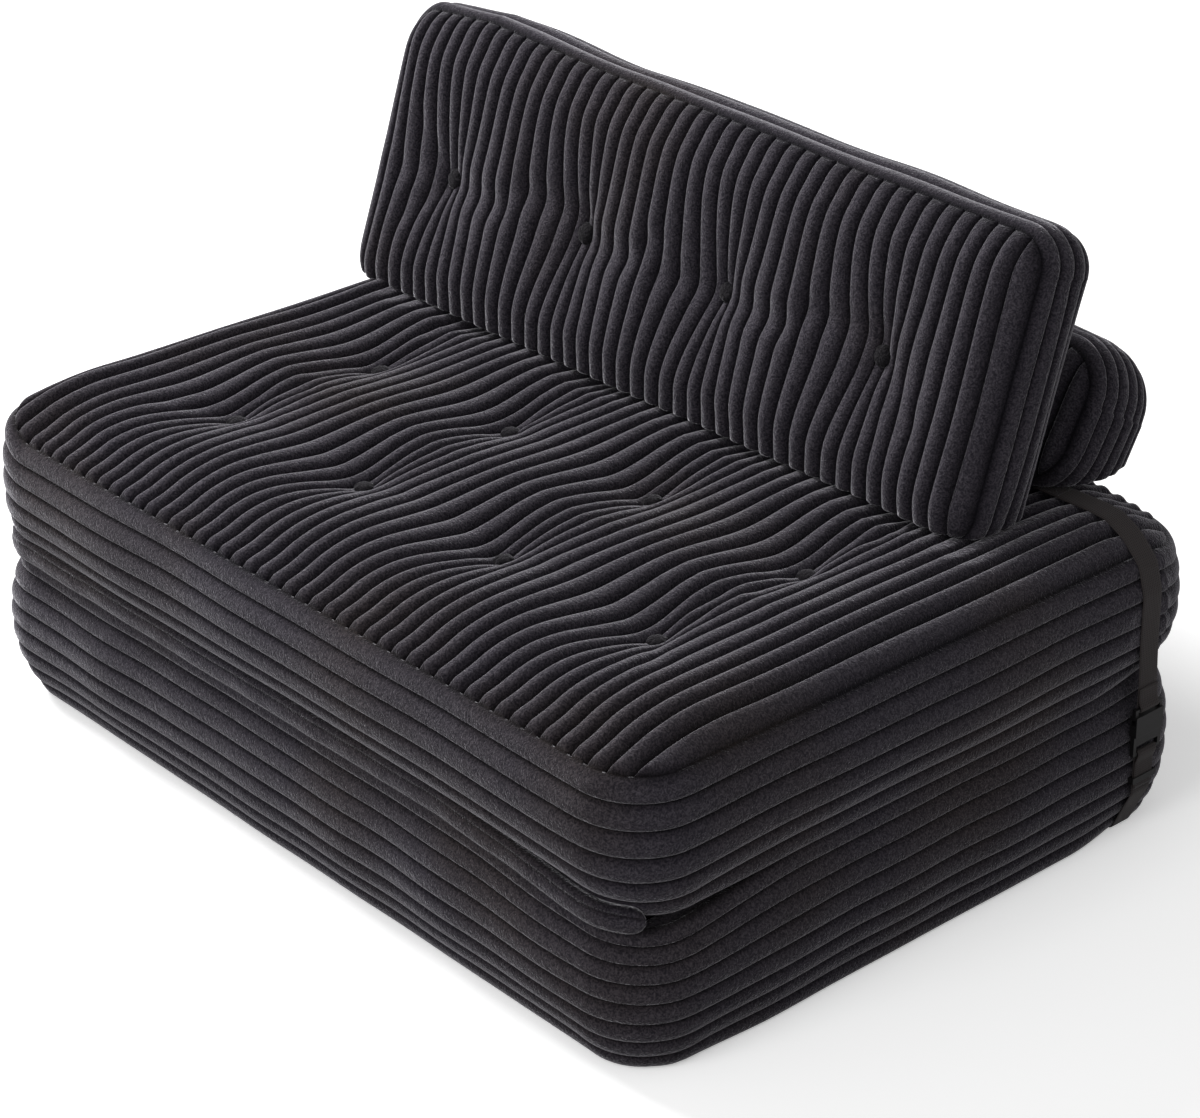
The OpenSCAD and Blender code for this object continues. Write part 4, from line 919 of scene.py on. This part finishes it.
def ribbon(name, line, away, across, width, thickness):
    """Flat woven tape along a line, with its outward directions and the direction of its width, and a map of its
    length and width for the weave."""
    share = np.array([-1, -0.97, -0.9, -0.6, -0.3, 0, 0.3, 0.6, 0.9, 0.97, 1])
    thick = thickness / 2 * np.sqrt(np.clip(1 - ((np.abs(share) - 0.9) / 0.1).clip(0, 1) ** 2, 0.04, 1))
    ring_w = np.concatenate([share, share[::-1]]) * width / 2
    ring_t = np.concatenate([thick, -thick[::-1]])
    ring, rows = len(ring_w), len(line)
    points = line[:, None, :] + np.array(across) * ring_w[:, None] + away[:, None, :] * ring_t[:, None]
    cap = np.array([(k, k + 1, ring - 2 - k, ring - 1 - k) for k in range(ring // 2 - 1)])
    faces = [tube_faces(rows, ring), cap, cap + (rows - 1) * ring]
    piece = piece_from(name, points.reshape(-1, 3), faces, web_cloth)
    face_out(piece)
    layer = piece.data.uv_layers.new(name="cloth")
    corners = np.empty(len(piece.data.loops), dtype=np.int32)
    piece.data.loops.foreach_get("vertex_index", corners)
    flat = np.stack([np.repeat(length_along(line), ring), np.tile(ring_w, rows)], axis=-1)[corners]
    layer.data.foreach_set("uv", flat.astype(np.float32).ravel())
    return piece


def strap_run(line, side):
    """A strap's middle line and outward directions in space, from its line in x and z on the right side."""
    line = even_line(line, 2.2 * MM)
    for _ in range(2):
        line[1:-1] = (line[:-2] + 2 * line[1:-1] + line[2:]) / 4
    ahead = np.gradient(line, axis=0)
    ahead /= np.linalg.norm(ahead, axis=1)[:, None]
    level = 0 * line[:, 0]
    middle = np.stack([side * line[:, 0], level + STRAP_Y, line[:, 1]], axis=-1)
    return middle, np.stack([-side * ahead[:, 1], level, ahead[:, 0]], axis=-1)


over_seat = pulled_over(seat_plush, 91, -2)
under_cushion = rear_cut - WEB_T / 2 - 0.2 * MM
over_seat[:, 1] = np.minimum(over_seat[:, 1], under_cushion + 6 * MM * step_up(over_seat[:, 0], 490, 20))
# Round the bar of each half of the buckle, and back up or down as a tail
upper_line = np.concatenate([[(SIDE_X - WEB_REACH, min(over_seat[0, 1], under_cushion))],
    over_seat[over_seat[:, 1] > 230 * MM],
    np.array([(602.9, 205), (602.9, 171), (603.8, 169.15), (604.5, 168.8), (608, 168.8), (608.85, 169.15), (609.2, 170),
        (609.2, 173.5), (606, 178), (605, 184), (604.9, 197)]) * MM])
over_floor = pulled_over(lower_plush, -50, 2)
lower_line = np.concatenate([[(over_floor[0, 0] - 4 * MM, 5 * MM)], over_floor[over_floor[:, 1] < 54 * MM],
    np.array([(602.9, 61), (602.9, 117), (603.8, 118.85), (604.5, 119.2), (608, 119.2), (608.85, 118.85), (609.2, 118),
        (609.2, 112.8), (605, 102), (605, 68)]) * MM])
straps = {}
for side, sign in (("right", 1), ("left", -1)):
    for level, line, body in (("upper", upper_line, "seat_section"), ("lower", lower_line, "lower_section")):
        name = side + "_" + level + "_webbing"
        straps[name] = strap_run(line, sign) + (body,)
        belongs(ribbon(name + "_woven", *straps[name][:2], (0.0, 1.0, 0.0), WEB_SHOWN, WEB_T), body, "webbing", name)


# Hard parts
def softened(node_name, radius):
    """A CAD part with its edges broken as the mould or the tumbler leaves them."""
    node = frame["nodes"][node_name]
    mesh = bmesh.new()
    mesh.from_mesh(node.data)
    bmesh.ops.remove_doubles(mesh, verts=mesh.verts, dist=0.01 * MM)
    bmesh.ops.dissolve_limit(mesh, angle_limit=radians(1), verts=mesh.verts, edges=mesh.edges)
    data = bpy.data.meshes.new(node_name + "_moulded")
    mesh.to_mesh(data)
    mesh.free()
    piece = linked(node_name + "_moulded", data)
    slot = next(part["material_slot"] for part in frame["record"]["subparts"] if part["node"] == node_name)
    data.materials.clear()
    data.materials.append(finishes[slot])
    edge = piece.modifiers.new("broken edge", "BEVEL")
    edge.width = radius
    edge.segments = 2
    edge.limit_method = "ANGLE"
    edge.angle_limit = radians(35)
    belongs(piece, body_of(node)[0], slot, node_name)


# Rows of zip teeth and stitches
def row_tree():
    """Sets copies of one small piece along lines at an even pitch: its x along the line, its z outward."""
    tree = bpy.data.node_groups.new("row of pieces", "GeometryNodeTree")
    names = {name: tree.interface.new_socket(name, in_out="INPUT", socket_type="NodeSocket" + kind).identifier
        for name, kind in (("Lines", "Geometry"), ("Pitch", "Float"), ("Piece", "Object"), ("Turn", "Float"),
            ("Finish", "Material"))}
    tree.interface.new_socket("Row", in_out="OUTPUT", socket_type="NodeSocketGeometry")
    given = add(tree, "NodeGroupInput").outputs
    curve = add(tree, "GeometryNodeMeshToCurve", {"Mesh": given["Lines"]})
    even = add(tree, "GeometryNodeResampleCurve", {"Curve": curve, "Length": given["Pitch"]}, mode="LENGTH")
    along = add(tree, "GeometryNodeInputTangent")
    outward = add(tree, "GeometryNodeInputNamedAttribute", {"Name": "outward"}, data_type="FLOAT_VECTOR")
    ahead = add(tree, "FunctionNodeAlignRotationToVector", {"Vector": along}, axis="X")
    upright = add(tree, "FunctionNodeAlignRotationToVector", {"Rotation": ahead,
        "Vector": outward.outputs["Attribute"]}, axis="Z", pivot_axis="X")
    number = add(tree, "GeometryNodeInputIndex")
    odd = add(tree, "ShaderNodeMath", {0: number, 1: 2.0}, operation="MODULO")
    angle = add(tree, "ShaderNodeMath", {0: odd, 1: given["Turn"]}, operation="MULTIPLY")
    spin = add(tree, "FunctionNodeAxisAngleToRotation", {"Axis": (0, 0, 1), "Angle": angle})
    facing = add(tree, "FunctionNodeRotateRotation", {"Rotation": upright, "Rotate By": spin}, rotation_space="LOCAL")
    shape = add(tree, "GeometryNodeObjectInfo", {"Object": given["Piece"]})
    copies = add(tree, "GeometryNodeInstanceOnPoints", {"Points": even, "Instance": shape.outputs["Geometry"],
        "Rotation": facing})
    real = add(tree, "GeometryNodeRealizeInstances", {"Geometry": copies})
    coated = add(tree, "GeometryNodeSetMaterial", {"Geometry": real, "Material": given["Finish"]})
    add(tree, "NodeGroupOutput", {"Row": coated})
    return tree, names


def row_of(name, lines, pitch, unit, turn, body, slot, *nodes):
    """Copies of a unit piece along several lines, each a pair of points and outward directions, as one mesh."""
    points = np.concatenate([line for line, _ in lines])
    outward = np.concatenate([np.broadcast_to(away, line.shape) for line, away in lines])
    starts = np.cumsum([0] + [len(line) for line, _ in lines])
    edges = [(k, k + 1) for a, b in zip(starts[:-1], starts[1:]) for k in range(a, b - 1)]
    mesh = bpy.data.meshes.new(name + "_lines")
    mesh.from_pydata(points.tolist(), edges, [])
    mesh.attributes.new("outward", "FLOAT_VECTOR", "POINT").data.foreach_set(
        "vector", outward.astype(np.float32).ravel())
    holder = linked(name + "_lines", mesh)
    modifier = holder.modifiers.new("row", "NODES")
    modifier.node_group = pieces_in_a_row
    for key, value in (("Pitch", pitch), ("Piece", unit), ("Turn", turn), ("Finish", finishes[slot])):
        modifier[row_inputs[key]] = value
    made = bpy.data.meshes.new_from_object(holder.evaluated_get(bpy.context.evaluated_depsgraph_get()))
    bpy.data.objects.remove(holder)
    made.name = name
    belongs(linked(name, made), body, slot, *nodes)


def tooth():
    """One moulded zip tooth: a stem that widens to a hooked head."""
    outline = np.array([(-0.75, -2.5), (0.75, -2.5), (0.55, -0.1), (0.95, 0.5), (0.8, 1.2), (-0.8, 1.2), (-0.95, 0.5),
        (-0.55, -0.1)]) * MM
    low = np.c_[outline, np.full(8, -0.9 * MM)]
    high = np.c_[outline * (0.86, 1), np.full(8, 0.9 * MM)]
    lids = np.array([(0, 7, 2, 1), (7, 6, 3, 2), (6, 5, 4, 3)])
    faces = [tube_faces(2, 8), lids, lids[:, ::-1] + 8]
    return piece_from("zip_tooth", np.concatenate([low, high]), faces, finishes["buckle_plastic"], False)


def stitch():
    """One lock stitch, 2.6 mm long, pulled into the cloth at both ends."""
    # Place along the stitch, radius and height of each ring
    rings = [(-1.3, 0.16, -0.35), (-0.9, 0.3, 0.05), (0, 0.34, 0.2), (0.9, 0.3, 0.05), (1.3, 0.16, -0.35)]
    turn = np.arange(6) * pi / 3
    points = np.concatenate([np.stack([0 * turn + x, r * np.cos(turn), z + r * np.sin(turn)], axis=-1)
        for x, r, z in rings]) * MM
    ends = np.array([(0, 1, 2, 3), (0, 3, 4, 5)])
    faces = [tube_faces(len(rings), 6), ends, ends[:, ::-1] + 24]
    piece = piece_from("lock_stitch", points, faces, finishes["thread"])
    face_out(piece)
    return piece


pieces_in_a_row, row_inputs = row_tree()
zip_tooth, lock_stitch = tooth(), stitch()


def zip_fastener(name, x, y, z, away, across, length, body):
    """Teeth on a woven tape, sewn down along both edges; x, y and z are the middle of the teeth."""
    away, across = np.array(away, dtype=float), np.array(across, dtype=float)
    ends = np.array([(x - length / 2, y, z), (x + length / 2, y, z)])
    row_of(name + "_zip_teeth", [(ends, away)], TOOTH_PITCH, zip_tooth, pi, body, "buckle_plastic",
        name + "_zip_chain")
    run = np.linspace(ends[0] - (4 * MM, 0, 0), ends[1] + (4 * MM, 0, 0), 60) - away * 1.25 * MM
    tape = ribbon(name + "_zip_tape", run, np.broadcast_to(away, run.shape), across, 10.5 * MM, 0.6 * MM)
    belongs(tape, body, "webbing")
    rows = [(ends + across * side * 4.3 * MM - away * 0.9 * MM, away) for side in (-1, 1)]
    row_of(name + "_zip_stitches", rows, ZIP_STITCH, lock_stitch, 0.0, body, "thread")


for name, y, z in (("lower", LOWER_D / 2, LOWER_H / 2),
        ("seat", LOWER_D / 2 + SEAT_OVERHANG, SEAT_Z + SEAT_BAND_H / 2)):
    zip_fastener(name, 0, y - SLAB_ZIP_SUNK, z, (0, 1, 0), (0, 0, 1), SLAB_ZIP_L, name + "_section")
for name, y, z in (("front_cushion", front_zip_y, front_cut), ("rear_cushion", rear_zip_y, rear_cut)):
    zip_fastener(name, -CUSHION_SIDE, y, z + CUSHION_ZIP_SUNK, (0, 0, -1), (0, 1, 0), CUSHION_ZIP_L, name)


def strip_seam(name, height, inset, proud, body):
    """A row of stitches along one edge of the hinge strip."""
    share = np.linspace(-0.962, 0.962, 400)
    x, y = strip_outline(inset, share)
    out_x, out_y = strip_outline(inset - 1 * MM, share)
    outward = np.stack([out_x - x, out_y - y, np.full(len(x), proud * MM)], axis=-1)
    outward /= np.linalg.norm(outward, axis=1)[:, None]
    line = np.stack([x, y, height + strip_fall(x, y, share)], axis=-1)
    row_of(name, [(line, outward)], STRIP_STITCH, lock_stitch, 0.0, body, "thread")


strip_seam("hinge_strip_upper_seam", 222.3 * MM, 4.5 * MM, 0.3, "seat_section")
strip_seam("hinge_strip_lower_seam", 198.4 * MM, 6.0 * MM, -0.8, "lower_section")


def box_seam(middle, away, first, last, crossed):
    """Lines of a box of stitches on a strap's outer face, between two of its steps, crossed corner to corner or not."""
    side = 11.5 * MM
    face = middle + away * (WEB_T / 2 + 0.05 * MM)
    corners = [(first, -side), (first, side), (last, side), (last, -side), (first, -side)]
    pairs = list(zip(corners[:-1], corners[1:]))
    if crossed:
        pairs += [((first, -side), (last, side)), ((first, side), (last, -side))]
    lines = []
    for (a, ya), (b, yb) in pairs:
        t = np.linspace(0, 1, 12)
        step = a + (b - a) * t
        spot = [np.interp(step, np.arange(len(face)), face[:, k]) for k in range(3)]
        lean = np.stack([np.interp(step, np.arange(len(away)), away[:, k]) for k in range(3)], axis=-1)
        lines.append((np.stack([spot[0], spot[1] + ya + (yb - ya) * t, spot[2]], axis=-1), lean))
    return lines


for name, (middle, away, body) in straps.items():
    upper, last = "upper" in name, len(middle) - 2
    seams = box_seam(middle, away, 2, 15 if upper else 6, upper) + box_seam(middle, away, last - 5, last, False)
    row_of(name + "_stitches", seams, STRAP_STITCH, lock_stitch, 0.0, body, "thread")
for unit in (zip_tooth, lock_stitch):
    bpy.data.objects.remove(unit)

# The nodes that show as they are get their finish, and the hard ones broken edges
for part in frame["record"]["subparts"]:
    node = frame["nodes"][part["node"]]
    node.data.materials.clear()
    node.data.materials.append(finishes[part["material_slot"]])
for side in ("right", "left"):
    for name, radius in (("_buckle_socket", 0.7), ("_buckle_plug", 0.5), ("_front_latch", 0.35), ("_rear_latch", 0.35),
            ("_strap_keeper", 0.45)):
        softened(side + name, radius * MM)
for name in ("lower", "seat", "front_cushion", "rear_cushion"):
    softened(name + "_zip_slider", 0.25 * MM)


# Floor, lamps and camera
def shown_plainly(tree):
    """1 for what the camera sees directly or in a gloss, 0 for the light that falls on the object."""
    rays = add(tree, "ShaderNodeLightPath").outputs
    return add(tree, "ShaderNodeMath", {0: rays["Is Camera Ray"], 1: rays["Is Glossy Ray"]}, operation="MAXIMUM")


def studio_paper(tree):
    """Matt paper: white to the camera, light grey for the light that it throws back."""
    seen = shown_plainly(tree)
    tone = add(tree, "ShaderNodeMix", {"Factor": seen, 6: srgb("b0b0b0"), 7: srgb("ffffff")}, data_type="RGBA")
    paper = add(tree, "ShaderNodeBsdfDiffuse", {"Color": tone.outputs[2], "Roughness": 0.8})
    strength = add(tree, "ShaderNodeMath", {0: seen, 1: 0.34}, operation="MULTIPLY")
    glow = add(tree, "ShaderNodeEmission", {"Color": (1, 1, 1, 1), "Strength": strength})
    return add(tree, "ShaderNodeAddShader", {0: paper, 1: glow})


def studio():
    """A pale sweep, two soft lamps and an even sky."""
    half = 9.0
    floor = piece_from("studio_floor", [(-half, -half, 0), (half, -half, 0), (half, half, 0), (-half, half, 0)],
        [np.array([[0, 1, 2, 3]])], material_of("matt studio paper", studio_paper), smooth=False)
    world = bpy.data.worlds.new("studio")
    bpy.context.scene.world = world
    world.use_nodes = True
    tree = world.node_tree
    tree.nodes.clear()
    level = add(tree, "ShaderNodeMapRange", {"Value": shown_plainly(tree), "To Min": 0.42, "To Max": 1.0})
    sky = add(tree, "ShaderNodeBackground", {"Color": (1, 1, 1, 1), "Strength": level.outputs["Result"]})
    add(tree, "ShaderNodeOutputWorld", {"Surface": sky})
    for name, spot, width, power in (("key lamp", (-3.0, -0.6, 2.7), 1.3, 230.0),
            ("front lamp", (0.8, -3.4, 2.4), 2.0, 40.0)):
        lamp = bpy.data.lights.new(name, "AREA")
        lamp.shape = "SQUARE"
        lamp.size = width
        lamp.energy = power
        holder = linked(name, lamp)
        holder.location = spot
        holder.rotation_euler = (Vector((0, 0, 0.3)) - Vector(spot)).to_track_quat("-Z", "Y").to_euler()


def photo_camera():
    """The photograph's viewpoint: its azimuth, elevation, slight roll and focal length."""
    azimuth, elevation, roll = radians(49.11), radians(27.08), radians(-0.87)
    back = Vector((sin(azimuth) * cos(elevation), -cos(azimuth) * cos(elevation), sin(elevation)))
    level = Vector((cos(azimuth), sin(azimuth), 0))
    upright = back.cross(level)
    right = level * cos(roll) + upright * sin(roll)
    up = upright * cos(roll) - level * sin(roll)
    lens = bpy.data.cameras.new("photo camera")
    lens.lens = 97.68
    lens.sensor_width = 36
    lens.sensor_fit = "HORIZONTAL"
    camera = linked("photo camera", lens)
    camera.matrix_world = Matrix((right, up, back)).transposed().to_4x4()
    camera.matrix_world.translation = (2.6025, -2.2103, 1.9881)
    bpy.context.scene.camera = camera


studio()
photo_camera()
bpy.context.scene.view_settings.view_transform = "Standard"
